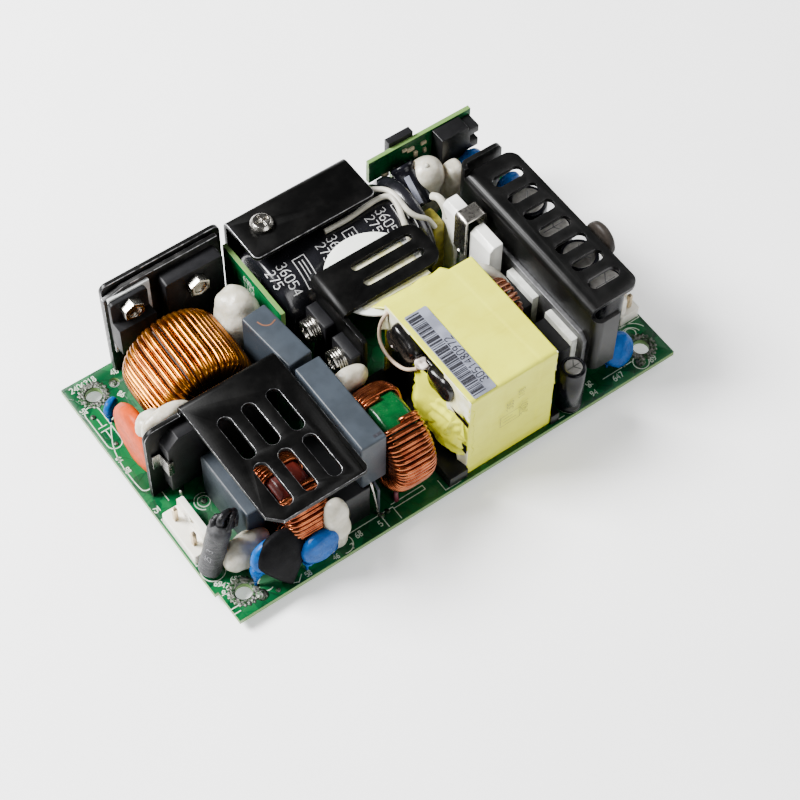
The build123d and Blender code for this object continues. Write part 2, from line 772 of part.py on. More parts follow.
def transformer_core():
    """Two ferrite E halves, put in from the left and the right, that meet in the middle."""
    y, z = trafo_mid()
    half_y = (trafo_rear - trafo_front) / 2 - tape_t - 0.1
    half_z = (trafo_h - trafo_low) / 2 - tape_t - 0.1
    middle = (trafo_left + trafo_right) / 2
    halves = []
    for side in (-1, 1):
        out = trafo_left - yoke_out if side < 0 else trafo_right + yoke_out
        inner = out - side * yoke_t
        points = [
            (out, -half_y), (middle, -half_y), (middle, -half_y + side_leg_w), (inner, -half_y + side_leg_w),
            (inner, -leg_w / 2), (middle, -leg_w / 2), (middle, leg_w / 2), (inner, leg_w / 2),
            (inner, half_y - side_leg_w), (middle, half_y - side_leg_w), (middle, half_y), (out, half_y),
        ]
        halves.append(panel(Plane(origin=(0, y, z - half_z)), points, 2 * half_z))
    return halves


def coil_span():
    """The left and right ends of the room between the two yokes."""
    return trafo_left - yoke_out + yoke_t + 0.1, trafo_right + yoke_out - yoke_t - 0.1


def transformer_bobbin():
    """The moulded coil former: a tube round the middle leg, two flanges and two pin rails below."""
    y, z = trafo_mid()
    x0, x1 = coil_span()
    half_z = (trafo_h - trafo_low) / 2 - tape_t - 0.1
    flange_y = (trafo_rear - trafo_front) / 2 - tape_t - side_leg_w - 0.1
    inside = leg_w / 2 + 0.1
    leg_hole = Pos(y, z) * Rectangle(2 * inside, 2 * half_z + 0.2)
    tube = Pos(y, z) * Rectangle(2 * inside + 2 * bobbin_t, 2 * half_z + 0.2)
    former = extrude(facing_right(x0) * (tube - leg_hole), amount=x1 - x0)
    flange = Pos(y, z) * Rectangle(2 * flange_y, 2 * half_z + 0.2) - leg_hole
    former += extrude(facing_right(x0) * flange, amount=bobbin_t)
    former += extrude(facing_right(x1 - bobbin_t) * flange, amount=bobbin_t)
    base_top = top + trafo_low
    foot_y = flange_y - 0.6
    for x in (x0, x1 - bobbin_t):
        former += brick(x, x + bobbin_t, y - foot_y, y + foot_y, base_top - 1.0, z - half_z)
    former += brick(trafo_left, trafo_right, trafo_front, trafo_rear, base_top - 1.6, base_top)
    for x, wide in ((trafo_left - rail_out, rail_out), (trafo_right, rail_out_right)):
        former += brick(x, x + wide, trafo_front - 0.6, trafo_rear + 0.6, top, base_top)
    return former


def transformer_winding():
    """The copper coil, a ring of square section round the former's tube."""
    y, z = trafo_mid()
    x0, x1 = coil_span()
    half_z = (trafo_h - trafo_low) / 2 - tape_t - 0.1
    inner = leg_w / 2 + 0.1 + bobbin_t
    outer = (trafo_rear - trafo_front) / 2 - tape_t - side_leg_w - 0.2
    sides = []
    for side in (-1, 1):
        a, b = sorted((y + side * (inner + 0.05), y + side * outer))
        sides.append(brick(x0 + bobbin_t + 0.1, x1 - bobbin_t - 0.1, a, b, z - half_z, z + half_z))
    return sides


def transformer_tape():
    """The yellow wrap over the core and coil: open at the left and right, folded in below."""
    y, z = trafo_mid()
    wide, high = trafo_rear - trafo_front, trafo_h - trafo_low
    room = RectangleRounded(wide - 2 * tape_t, high - 2 * tape_t, 0.3)
    sleeve = RectangleRounded(wide, high, 0.9) - room
    sleeve -= Pos(0, -high / 2) * Rectangle(wide - 2 * tape_fold, 4 * tape_t)
    return extrude(facing_right(trafo_left) * Pos(y, z) * sleeve, amount=trafo_right - trafo_left)


def transformer_label():
    """The paper label on the wrap."""
    place = level(top + trafo_h) * Pos(label_x, label_y)
    return extrude(place * RectangleRounded(label_w, label_l, 0.5), amount=label_t)


def output_heatsink():
    """The folded, slotted plate over the output parts: wall, roof, an end tab and an end flange."""
    x_mid = output_left + sheet / 2
    z_mid = roof - sheet / 2
    section = bent_strip([(x_mid, top), (x_mid, z_mid), (output_right, z_mid)], sheet, bend)
    plate = extrude(facing_front(output_rear) * section, amount=output_rear - output_front)
    far = [e for e in plate.edges().filter_by(Axis.Z) if e.center().X > output_right - 0.01]
    plate = fillet(far, output_corner)
    tab_y = output_rear + bend + sheet / 2
    tab_path = [(x_mid, output_rear - 0.01), (x_mid, tab_y), (output_tab_right, tab_y)]
    tab = extrude(level(top) * bent_strip(tab_path, sheet, bend), amount=output_tab_h)
    upper = [e for e in tab.edges().filter_by(Axis.Y) if e.center().X > output_tab_right - 0.01]
    tab = fillet([e for e in upper if e.center().Z > top + output_tab_h - 0.01], 2.0)
    flange_y = output_front - bend - sheet / 2
    flange_path = [(x_mid, output_front + 0.01), (x_mid, flange_y), (output_flange_right, flange_y)]
    flange_low = top + output_flange_low
    flange_h = roof - sheet - bend - flange_low
    flange = extrude(level(flange_low) * bent_strip(flange_path, sheet, bend), amount=flange_h)
    plate = plate + tab + flange
    slot = extrude(SlotOverall(output_slot_length, output_slot_w), amount=2 * sheet, both=True)
    for i in range(output_slots):
        plate -= Pos(output_slot_x, output_slot_first - i * output_slot_pitch, z_mid) * slot
    return plate


def output_spreader():
    """The flat bar between the output plate's wall and its devices."""
    low, high = top + spreader_low, top + spreader_h
    points = [
        (spreader_front, low), (spreader_rear, low), (spreader_rear, high),
        (spreader_front + 1.8, high), (spreader_front, high - 1.8),
    ]
    return panel(facing_right(output_left - spreader_t), points, spreader_t)


def output_insulators():
    """The two pale bars that insulate the output rectifiers."""
    x1 = output_left - spreader_t
    x0, half = x1 - insulator_t, insulator_w / 2
    low, high = top + spreader_low, top + insulator_h
    return [brick(x0, x1, y - half, y + half, low, high) for y in insulators_y]


def output_rectifiers():
    """The two output rectifiers, their backs on the pale bars."""
    parts = []
    x1 = output_left - spreader_t - insulator_t
    x0 = x1 - rectifier_body_t
    low, high = top + rectifier_body_low, top + rectifier_body_h
    for y in insulators_y:
        body = brick(x0, x1, y - device_w / 2, y + device_w / 2, low, high)
        for dy in (-2.54, 0, 2.54):
            body += lead((x0 + x1) / 2, y + dy, low)
        parts.append(body)
    return parts


def transistor_boots():
    """The two white moulded boots over the switching transistors."""
    boots = []
    for x0, x1, y0, y1 in (boot_front, boot_rear):
        high = top + boot_h
        points = [(x0, top), (x1, top), (x1, high), (x0 + boot_slope, high), (x0, high - boot_slope)]
        boots.append(panel(facing_front(y1), points, y1 - y0))
    return boots


def output_clip():
    """The bent steel clip between the boots: a flat top and a long leg."""
    z = top + clip_h - clip_t / 2
    x0, x1 = clip_left + clip_t / 2, clip_right - clip_t / 2
    path = [(x0, z - clip_leg), (x0, z), (x1, z), (x1, z - clip_leg / 2)]
    section = bent_strip(path, clip_t, 0.8)
    clip = extrude(facing_front(clip_rear) * section, amount=clip_rear - clip_front)
    return clip + lead(x0, (clip_front + clip_rear) / 2, z - clip_leg, 1.2)


def round_capacitor(x, y, d, height):
    """An upright round capacitor: a can with a rolled groove near its foot and a flat top."""
    r = d / 2
    outline = [(0, 0), (r, 0), (r, 1.4), (r - 0.4, 2.0), (r, 2.6)]
    outline += [(r, height - 0.5), (r - 0.5, height), (0, height)]
    return Pos(x, y, top) * revolve(Plane.XZ * Polygon(*outline, align=None), Axis.Z)


def output_capacitors():
    """The row of round capacitors under the output plate."""
    return [round_capacitor(output_cap_x, y, output_cap_d, output_cap_h) for y in output_caps_y]


def small_capacitor():
    """The slim round capacitor in front of the transformer's corner."""
    return round_capacitor(small_cap_x, small_cap_y, small_cap_d, small_cap_h)


def control_board():
    """The small upright board left of the big capacitor."""
    points = rectangle(control_front, control_rear, top, top + control_h)
    return panel(facing_right(control_x), points, control_t)


def control_chip_block():
    """Its controller chip, on the right face."""
    y0, y1, z0, z1 = control_chip
    points = rectangle(y0, y1, top + z0, top + z1)
    return panel(facing_right(control_x + control_t), points, control_chip_t)


def standby_board():
    """The upright board at the rear right."""
    foot_left = bulk_left + bulk_length + standby_foot_clear
    step_z = top + bulk_d + 2 * gap
    points = [
        (foot_left, top), (standby_right, top), (standby_right, top + standby_h),
        (standby_left, top + standby_h), (standby_left, step_z), (foot_left, step_z),
    ]
    return panel(facing_front(standby_y), points, control_t)


def standby_chip_block():
    """Its chip, on the rear face."""
    x0, x1, z0, z1 = standby_chip
    points = rectangle(x0, x1, top + z0, top + z1)
    return panel(facing_front(standby_y + standby_chip_t), points, standby_chip_t)


def standby_capacitor():
    """The round capacitor that stands out from that board and hangs down a little."""
    r = standby_cap_d / 2
    length = standby_cap_length
    outline = [(0, 0), (r, 0), (r, 1.2), (r - 0.4, 1.8), (r, 2.4)]
    outline += [(r, length - 0.4), (r - 0.4, length), (0, length)]
    can = revolve(Plane.XZ * Polygon(*outline, align=None), Axis.Z)
    c, s = cos(radians(standby_cap_droop)), sin(radians(standby_cap_droop))
    start = (standby_cap_x, standby_y - control_t - r * s - 0.1, top + standby_cap_z)
    return Plane(origin=start, z_dir=(0, -c, -s)) * can


def standby_socket():
    """The black two-pronged socket on that board."""
    face = standby_y - control_t
    low, high = top + socket_low, top + socket_high
    x1 = socket_x1 + socket_prong
    points = [
        (socket_x0, low), (socket_x1, low), (socket_x1, low + 1.4), (x1, low + 1.4), (x1, low + 4.0),
        (socket_x1 + 0.6, low + 4.0), (socket_x1 + 0.6, high - 3.6), (x1, high - 3.6), (x1, high - 1.2),
        (socket_x1, high - 1.2), (socket_x1, high), (socket_x0, high),
    ]
    return panel(facing_front(face), points, socket_t)


def header(box, base_h, wall_h, wall_side):
    """A pin header: a base, and one tall latch wall with a slot, along Y."""
    x0, x1, y0, y1 = box
    base = brick(x0, x1, y0, y1, top, top + base_h, 0.5)
    wall_x = (x1 - inlet_wall_t, x1) if wall_side > 0 else (x0, x0 + inlet_wall_t)
    outline = rectangle(y0 + 0.6, y1 - 0.6, top, top + wall_h)
    wall = panel(facing_right(wall_x[0]), outline, inlet_wall_t, 1.2, (2, 3))
    slot = Pos((wall_x[0] + wall_x[1]) / 2, (y0 + y1) / 2, top + base_h + (wall_h - base_h) / 2)
    return base + wall - slot * Box(3 * inlet_wall_t, 1.6, (wall_h - base_h) * 0.6)


def input_connector():
    """The mains header by the left edge."""
    return header(inlet, inlet_base_h, inlet_wall_h, 1)


def output_connector():
    """The output header by the right edge."""
    return header(outlet, outlet_base_h, outlet_wall_h, -1)


def connector_pins():
    """The square pins of both headers, standing on their bases."""
    pins = []
    for box, base_h, count, wall in ((inlet, inlet_base_h, 2, -1), (outlet, outlet_base_h, 3, 1)):
        x = (box[0] + box[1]) / 2 + wall * inlet_wall_t / 2
        span = (box[3] - box[2]) * 0.56
        for i in range(count):
            y = (box[2] + box[3]) / 2 - span / 2 + span * i / (count - 1)
            half = pin_side / 2
            pins.append(brick(x - half, x + half, y - half, y + half, top + base_h, top + pin_h))
    return pins


def fuse():
    """The sleeved fuse: a round body that leans, and its sleeved lead folded over at the top."""
    lean = radians(fuse_lean)
    foot = Vector(fuse_x, fuse_y, top + fuse_d / 2 * sin(lean) + 0.05)
    axis = Vector(sin(lean), 0, cos(lean))
    body = extrude(Plane(origin=foot, z_dir=axis) * Circle(fuse_d / 2), amount=fuse_length)
    body = chamfer(body.edges().sort_by(Axis.Z)[-1], 0.9)
    tip = foot + axis * (fuse_length - 0.4)
    bow = FilletPolyline(tip, tip + axis * 2.0, tip + axis * 2.0 + Vector(4.4, 1.2, -0.4), radius=1.4)
    return body + sweep(Plane(origin=bow @ 0, z_dir=bow % 0) * RegularPolygon(1.3, 8), bow)


def dipped_disc(x, y, z, r, t, lean, turn, lead_pitch=5.0):
    """A dipped disc on two leads: a flat lens, turned about Z and leaning back."""
    profile = [(0.7 * r, 0.5 * t), (0.9 * r, 0.38 * t), (r, 0.16 * t)]
    outline = [(0, -t / 2)] + [(x, -y) for x, y in profile] + profile[::-1] + [(0, t / 2)]
    body = revolve(Plane.XZ * Polygon(*outline, align=None), Axis.Z)
    upright = Rot(0, 0, turn) * Rot(90 - lean, 0, 0) * body
    disc = Pos(x, y, top + z) * upright
    for side in (-1, 1):
        out = side * lead_pitch / 2
        z1 = top + z - sqrt(max(r * r - out * out, 0.04)) * cos(radians(lean)) + 0.4
        disc += lead(x + out * cos(radians(turn)), y + out * sin(radians(turn)), z1)
    return disc


def orange_varistor():
    """The large orange disc beside the left edge."""
    return dipped_disc(orange_x, orange_y, orange_z, orange_d / 2, orange_t, 0, 90, 7.5)


def grey_varistor():
    """The sleeved grey disc at the front."""
    return dipped_disc(*grey_disc, 0, 0)


def safety_capacitors():
    """The small blue discs."""
    return [
        dipped_disc(*blue_front_left, 0, 0),
        dipped_disc(*blue_front, 0, 0, 7.0),
        dipped_disc(*blue_rear, 0, 0),
        dipped_disc(*blue_right, 0, 0),
        dipped_disc(*blue_left, 0, 30, 2.4),
    ]


def disc_thermistor():
    """The brown disc that stands up beyond the output plate, on two long leads."""
    return dipped_disc(brown_disc_x, brown_disc_y, brown_disc_z, brown_disc_r, brown_disc_t, 0, 90)


def output_choke():
    """The small copper ring between the transformer and the output devices, on its two ends."""
    ring = ring_section(output_choke_r, output_choke_r - 3.2, output_choke_w, 1.2)
    z = top + output_choke_z
    x, y = output_choke_x, output_choke_y
    choke = Plane(origin=(x, y, z), z_dir=(1, 0, 0)) * ring
    for dy in (-3.6, 3.6):
        choke += lead(x, y + dy, z - 3.4, 1.2)
    return choke


def oval(x, y, r_x, r_y, z):
    """A level oval of straight sides."""
    turns = [radians(360 * i / bead_sides) for i in range(bead_sides)]
    return level(z) * Polygon(*[(x + r_x * cos(t), y + r_y * sin(t)) for t in turns], align=None)


def silicone_bead(x, y, r_x, r_y, height, low=0.0):
    """A set bead of silicone: an oval foot with a rounded top."""
    steps = ((0, 1.0), (0.5, 0.97), (0.78, 0.88), (0.93, 0.66), (1.0, 0.3))
    rings = [oval(x, y, w * r_x, w * r_y, top + low + share * height) for share, w in steps]
    return loft(rings, ruled=True)


def silicone_beads():
    """The white beads that hold tall parts still."""
    return [
        silicone_bead(left + 11.3, rear - 65.1, 5.6, 2.5, 8.0),
        silicone_bead(left + 31.7, rear - 73.5, 2.4, 2.2, 17),
        silicone_bead(left + 41.1, rear - 17.7, 4, 5.2, 23.6),
        silicone_bead(left + 50.5, rear - 48.3, 4.7, 1.5, 23.6),
        silicone_bead(left + 102.5, rear - 8.2, 3.5, 3.3, 21.6),
        silicone_bead(left + 107.5, rear - 11.5, 2.8, 2.7, 19.4),
        silicone_bead(left + 9.7, rear - 34.55, 6.2, 1.85, 9.6, 16.6),
    ]


nodes = {
    "main_board": main_board,
    "solder_joints": solder_joints,
    "rear_heatsink": rear_heatsink,
    "rear_device_plate": rear_device_plate,
    "insulating_pad": insulating_pad,
    "rear_device_left": rear_device_left,
    "rear_device_right": rear_device_right,
    "rear_screws": rear_screws,
    "capacitor_cover": capacitor_cover,
    "cover_screw": cover_screw,
    "cover_nut": cover_nut,
    "bulk_capacitor": bulk_capacitor,
    "boost_choke_core": lambda: boost_place() * boost_core_ring(),
    "boost_choke_winding": boost_choke_winding,
    "filter_choke_core": lambda: choke_place(filter_x, filter_y, filter_r)
    * choke_ring(filter_r, filter_bore_r, filter_w, filter_wire, 0.2),
    "filter_choke_windings": lambda: [
        choke_place(filter_x, filter_y, filter_r) * w
        for w in choke_windings(filter_r, filter_bore_r, filter_w, filter_wire, filter_turns)
    ],
    "input_choke_core": lambda: choke_place(input_x, input_y, input_r)
    * choke_ring(input_r, filter_bore_r, input_w, filter_wire, 0.2),
    "input_choke_windings": lambda: [
        choke_place(input_x, input_y, input_r) * w
        for w in choke_windings(input_r, filter_bore_r, input_w, filter_wire, input_turns)
    ],
    "bridge_heatsink": bridge_heatsink,
    "bridge_rectifier": bridge_rectifier,
    "rectifier_clip": rectifier_clip,
    "film_capacitor_front": film_capacitor_front,
    "film_capacitor_upper": film_capacitor_upper,
    "film_capacitor_rear": film_capacitor_rear,
    "relay": relay_block,
    "middle_heatsink": middle_heatsink,
    "middle_devices": middle_devices,
    "middle_screws": middle_screws,
    "middle_washers": middle_washers,
    "insulating_disc": insulating_disc,
    "transformer_core": transformer_core,
    "transformer_bobbin": transformer_bobbin,
    "transformer_winding": transformer_winding,
    "transformer_tape": transformer_tape,
    "transformer_label": transformer_label,
    "output_heatsink": output_heatsink,
    "output_spreader": output_spreader,
    "output_insulators": output_insulators,
    "output_rectifiers": output_rectifiers,
    "transistor_boots": transistor_boots,
    "output_clip": output_clip,
    "output_capacitors": output_capacitors,
    "small_capacitor": small_capacitor,
    "output_choke": output_choke,
    "control_board": control_board,
    "control_chip": control_chip_block,
    "standby_board": standby_board,
    "standby_chip": standby_chip_block,
    "standby_capacitor": standby_capacitor,
    "standby_socket": standby_socket,
    "input_connector": input_connector,
    "output_connector": output_connector,
    "connector_pins": connector_pins,
    "fuse": fuse,
    "orange_varistor": orange_varistor,
    "grey_varistor": grey_varistor,
    "safety_capacitors": safety_capacitors,
    "disc_thermistor": disc_thermistor,
    "silicone_beads": silicone_beads,
}

os.makedirs("parts", exist_ok=True)
for name, make in nodes.items():
    shape = make()
    if isinstance(shape, list):
        shape = Compound(children=[s for s in shape])
    export_step(shape, f"parts/{name}.step")
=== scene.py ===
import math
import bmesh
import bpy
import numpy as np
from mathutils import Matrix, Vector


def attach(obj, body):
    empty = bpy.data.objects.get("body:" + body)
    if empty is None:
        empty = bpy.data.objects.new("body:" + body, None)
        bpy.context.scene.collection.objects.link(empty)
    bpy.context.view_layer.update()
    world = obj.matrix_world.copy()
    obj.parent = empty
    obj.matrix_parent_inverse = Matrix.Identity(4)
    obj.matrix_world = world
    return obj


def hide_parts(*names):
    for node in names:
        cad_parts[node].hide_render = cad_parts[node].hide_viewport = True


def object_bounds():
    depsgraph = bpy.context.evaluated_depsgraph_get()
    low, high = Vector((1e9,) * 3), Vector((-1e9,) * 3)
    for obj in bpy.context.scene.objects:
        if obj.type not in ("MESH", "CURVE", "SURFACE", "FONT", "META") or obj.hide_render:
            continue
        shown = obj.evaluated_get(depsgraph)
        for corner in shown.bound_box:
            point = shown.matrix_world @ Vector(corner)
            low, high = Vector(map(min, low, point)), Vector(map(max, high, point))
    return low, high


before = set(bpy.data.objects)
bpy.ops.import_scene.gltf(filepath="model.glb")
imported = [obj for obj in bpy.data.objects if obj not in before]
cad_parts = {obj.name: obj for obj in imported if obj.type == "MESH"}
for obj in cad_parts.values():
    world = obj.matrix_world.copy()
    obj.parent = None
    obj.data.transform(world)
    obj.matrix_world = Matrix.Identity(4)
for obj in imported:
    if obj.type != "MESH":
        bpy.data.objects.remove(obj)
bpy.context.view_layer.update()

# %% [markdown]
# # An open-frame power supply, dressed for its picture
# The fixed model gives every part's place and size. This lesson gives each part the finish that the
# real one has, and builds again those parts whose surface is the point: wound wire, dipped coats,
# wrinkled tape and set silicone. Everything is in one frame, in metres. The numbers below are in
# millimetres, as a maker would write them, and are scaled once, when a mesh is made.

MM = 0.001
TOP = 1.6  # the board's upper face, from which other heights are given

# %% [markdown]
# ## Camera, floor and light
# The photograph looks down on the board from its front left corner, through a long lens, so upright
# edges hardly converge. The camera is put where that view is had. One strong lamp behind, to the
# left, gives the long soft highlights on sheet and wire. Two weak ones, in front and to the right,
# and a dim white sky keep the shaded sides from going black.

# %% Camera
AZIMUTH, ELEVATION, ROLL = math.radians(-36.827), math.radians(57.042), math.radians(1.266)
EYE = (-0.164568, -0.232137, 0.427676)
SENSOR, LENS = 36, 95.739


def camera_axes(a, e, roll):
    """Right, up and back of a camera: back points from the object to the camera at azimuth a and
    elevation e, right is level, up is across both, and right and up are then turned by roll."""
    back = Vector((math.sin(a) * math.cos(e), -math.cos(a) * math.cos(e), math.sin(e)))
    right = Vector((math.cos(a), math.sin(a), 0))
    up = back.cross(right)
    c, s = math.cos(roll), math.sin(roll)
    return right * c + up * s, up * c - right * s, back


eye = bpy.data.objects.new("camera", bpy.data.cameras.new("camera"))
bpy.context.scene.collection.objects.link(eye)
eye.data.sensor_width, eye.data.lens = SENSOR, LENS
axes = Matrix(camera_axes(AZIMUTH, ELEVATION, ROLL)).transposed()
eye.matrix_world = Matrix.Translation(EYE) @ axes.to_4x4()
bpy.context.scene.camera = eye
print("camera at", [round(v, 3) for v in eye.location])

# %% Light
world = bpy.data.worlds.new("studio")
bpy.context.scene.world = world
world.use_nodes = True
sky = world.node_tree.nodes["Background"].inputs
sky["Color"].default_value, sky["Strength"].default_value = (1, 1, 1, 1), 0.09


AIM = Vector((0, 0, 0.012))


def lamp(name, place, size, power):
    """A square lamp of a width at a place, turned to face AIM."""
    data = bpy.data.lights.new(name, "AREA")
    data.shape, data.size, data.energy = "SQUARE", size, power
    thing = bpy.data.objects.new(name, data)
    thing.location = place
    thing.rotation_euler = (AIM - Vector(place)).to_track_quat("-Z", "Y").to_euler()
    bpy.context.scene.collection.objects.link(thing)


lamp("key", (-0.42, 0.36, 0.60), 0.34, 30.0)
lamp("fill", (0.15, -0.75, 0.55), 0.5, 3.6)
lamp("side", (0.75, 0.05, 0.45), 0.4, 3.0)
print("three lamps and a white sky")

# %% [markdown]
# ## Shader sums as plain Python
# A finish is mostly arithmetic: a mask times one colour plus the rest times another. Drawing that as
# nodes by hand hides the formula, so a small class wraps a socket and lets the operators add the
# Math nodes. Every other node comes from one method.

# %% Sockets that can be added and multiplied
class Wire:
    """A number that changes over the surface. An operator on it adds the Math node it names."""

    def __init__(self, tree, socket):
        self.tree, self.socket = tree, socket

    def math(self, operation, a, b):
        """A Math node of that operation, on a and b."""
        node = self.tree.nodes.new("ShaderNodeMath")
        node.operation = operation
        for socket, value in zip(node.inputs, (a, b)):
            plug(self.tree, socket, value)
        return Wire(self.tree, node.outputs[0])

    def __add__(self, other):
        return self.math("ADD", self, other)

    def __radd__(self, other):
        return self.math("ADD", other, self)

    def __sub__(self, other):
        return self.math("SUBTRACT", self, other)

    def __rsub__(self, other):
        return self.math("SUBTRACT", other, self)

    def __mul__(self, other):
        return self.math("MULTIPLY", self, other)

    def __rmul__(self, other):
        return self.math("MULTIPLY", other, self)

    def step(self, low, high):
        """0 below low, 1 above high, and a smooth rise between."""
        node = self.tree.nodes.new("ShaderNodeMapRange")
        node.interpolation_type = "SMOOTHSTEP"
        for name, value in (("Value", self), ("From Min", low), ("From Max", high)):
            plug(self.tree, node.inputs[name], value)
        return Wire(self.tree, node.outputs[0])


def plug(tree, socket, value):
    """Links a wire to a socket, or sets the socket to a number, colour or vector."""
    if isinstance(value, Wire):
        tree.links.new(value.socket, socket)
    elif isinstance(value, (tuple, list)) and len(value) == 3 and len(socket.default_value) == 4:
        socket.default_value = (*value, 1)
    else:
        socket.default_value = value


print("sockets take + - and *")

# %% One finish
class Finish:
    """A material with its main shader. Constants go on the shader's own sockets."""

    def __init__(self, name, colour, roughness=0.5, **constants):
        self.name, self.material = name, bpy.data.materials.new(name)
        self.material.use_nodes = True
        self.tree = self.material.node_tree
        self.shader = self.tree.nodes["Principled BSDF"]
        self.set("Base Color", colour)
        self.set("Roughness", roughness)
        for key, value in constants.items():
            self.set(key.replace("_", " ").title().replace("Ior", "IOR"), value)
        self.place = self.node("ShaderNodeTexCoord", output="Object")

    def set(self, name, value):
        """Feeds one of the shader's sockets."""
        plug(self.tree, self.shader.inputs[name], value)
        return self

    def node(self, kind, settings=(), output=0, **inputs):
        """Any other node: its settings are set first, then its sockets, and one output comes back."""
        node = self.tree.nodes.new(kind)
        for key, value in dict(settings).items():
            setattr(node, key, value)
        for key, value in inputs.items():
            plug(self.tree, node.inputs[key.replace("_", " ")], value)
        return Wire(self.tree, node.outputs[output])

    def at(self, x=1.0, y=1.0, z=1.0, turn=(0, 0, 0)):
        """The surface point, stretched and turned."""
        return self.node("ShaderNodeMapping", Vector=self.place, Scale=(x, y, z), Rotation=turn)

    def noise(self, size_mm, detail=3.0, rough=0.55, at=None):
        """Cloudy noise whose lumps are about size_mm across."""
        return self.node("ShaderNodeTexNoise", Vector=at or self.place, Scale=1 / (size_mm * MM),
                         Detail=detail, Roughness=rough)

    def mix(self, mask, a, b):
        """Colour a where the mask is 0 and b where it is 1."""
        node = self.tree.nodes.new("ShaderNodeMix")
        node.data_type = "RGBA"
        for index, value in ((0, mask), (6, a), (7, b)):
            plug(self.tree, node.inputs[index], value)
        return Wire(self.tree, node.outputs[2])

    def clouded(self, size_mm, low, high, a, b, detail=3.0):
        """A base colour that goes from a to b as cloudy noise rises from low to high."""
        return self.set("Base Color", self.mix(self.noise(size_mm, detail).step(low, high), a, b))

    def relief(self, height, depth_mm):
        """Raises the surface by height times depth_mm."""
        bump = self.node("ShaderNodeBump", Height=height, Distance=depth_mm * MM, Strength=1.0)
        return self.set("Normal", bump)

    def facing(self):
        """The surface's own direction, as three wires."""
        normal = self.node("ShaderNodeNewGeometry", output="Normal")
        parts = self.tree.nodes.new("ShaderNodeSeparateXYZ")
        self.tree.links.new(normal.socket, parts.inputs[0])
        return [Wire(self.tree, s) for s in parts.outputs]


print("a finish is a shader, its constants and what changes over the surface")

# %% [markdown]
# ## Families of finish
# Most parts here are one of a few kinds: moulded plastic, plated metal, dipped coats, printed sleeve.
# A function for each kind keeps their grain and gloss alike, and the colour makes the difference.

# %% Plastics and coats
def mottled(finish, colour, size=4.0, amount=0.25):
    """The base colour, darker and lighter in soft patches: a mix by noise of two shades."""
    dark = tuple(c * (1 - amount) for c in colour)
    light = tuple(min(1, c * (1 + amount)) for c in colour)
    return finish.mix(finish.noise(size).step(0.35, 0.65), dark, light)


def moulded(name, colour, roughness=0.45, grain=0.02, patch=4.0, amount=0.2, **constants):
    """Moulded plastic: fine spark-eroded grain, and a gloss that changes in soft patches."""
    f = Finish(name, colour, roughness, **constants)
    f.set("Base Color", mottled(f, colour, patch, amount))
    f.set("Roughness", f.noise(2.5) * 0.18 + (roughness - 0.09))
    return f.relief(f.noise(0.12, 2), grain)


def dipped(name, colour, roughness=0.22, dust=0.15, specular=0.42):
    """A dipped epoxy coat: orange-peel ripple of about 1 mm under a clear gloss, with some dust."""
    f = Finish(name, colour, roughness, specular_ior_level=specular)
    dusty = f.noise(0.5, 4).step(0.62, 0.75) * dust
    f.set("Base Color", f.mix(dusty, mottled(f, colour, 2.5, 0.18), (0.8, 0.8, 0.78)))
    f.set("Roughness", f.noise(1.2) * 0.2 + roughness - 0.08)
    return f.relief(f.noise(1.6, 2), 0.12)


def plated(name, colour, roughness=0.25, scratch=0.01):
    """Plated metal: full metal, with faint scratches and uneven dulling."""
    f = Finish(name, colour, roughness, metallic=1.0)
    f.set("Base Color", mottled(f, colour, 1.5, 0.15))
    f.set("Roughness", f.noise(0.8, 4) * 0.3 + roughness - 0.12)
    return f.relief(f.noise(0.15, 2, at=f.at(1, 1, 6)), scratch)


def enamelled_wire(name, bright, deep, roughness=0.24):
    """Copper under clear enamel: the metal's colour drifts along the coil, and a coat gives the shine."""
    f = Finish(name, bright, roughness, metallic=0.94, coat_weight=0.06, coat_roughness=0.08)
    f.clouded(3.0, 0.3, 0.7, deep, bright)
    return f.set("Roughness", f.noise(3.0) * 0.12 + roughness - 0.06)


print("plastic, dipped coat, plated metal, enamelled wire")

# %% [markdown]
# ### Black sheet
# The heatsinks are punched and folded from sheet that was blackened first. The faces are a dark satin
# with rubbed, cloudy marks. The bevel on each sharp edge gets a pale grey metal of its own. It is partly the
# bare metal of the punched edges and partly a painted highlight: the thin bright line of reflected
# light along every edge and fold.

# %% Black sheet, and its edge: bare metal and a painted highlight
def sheet_black(name, specular, roughness=0.30, worn=0.0055):
    """Blackened sheet: cloudy rubbing and a few long scuffs change both shade and gloss."""
    f = Finish(name, (0.004, 0.004, 0.004), roughness, specular_ior_level=specular)
    rubbed = f.noise(6, 5, 0.65)
    scuffs = f.noise(0.7, 4, at=f.at(1, 0.12, 1, turn=(0, 0, 0.5))).step(0.62, 0.8)
    wear = rubbed.step(0.4, 0.75) * 0.5 + scuffs * 0.25
    f.set("Base Color", f.mix(wear, (0.0008, 0.0008, 0.0008), (worn, worn * 0.96, worn * 0.91)))
    f.set("Roughness", roughness + rubbed * 0.22 - scuffs * 0.08)
    return f.relief(f.noise(0.35, 3), 0.02)


black_sheet = sheet_black("black_sheet", 0.10)
satin_sheet = sheet_black("satin_sheet", 0.34, 0.26)
worn_sheet = sheet_black("worn_sheet", 0.34, 0.32, 0.05)
# The edge's pale grey is partly bare metal and partly a painted highlight along every bevelled edge and fold.
bare_edge_and_painted_highlight = Finish("bare_edge_and_painted_highlight", (0.20, 0.20, 0.21), 0.34, metallic=0.7)
bare_edge_and_painted_highlight.clouded(1.4, 0.35, 0.7, (0.05, 0.05, 0.055), (0.42, 0.42, 0.43), 4)
print("black sheet with a bare edge")

# %% [markdown]
# ### The board
# Solder mask is a thin green lacquer over copper. Where there is copper below, the green is lighter,
# and the copper's outline shows as a small step. Cell noise with flat, square cells gives such
# outlines. The cut edge shows pale glass fibre.

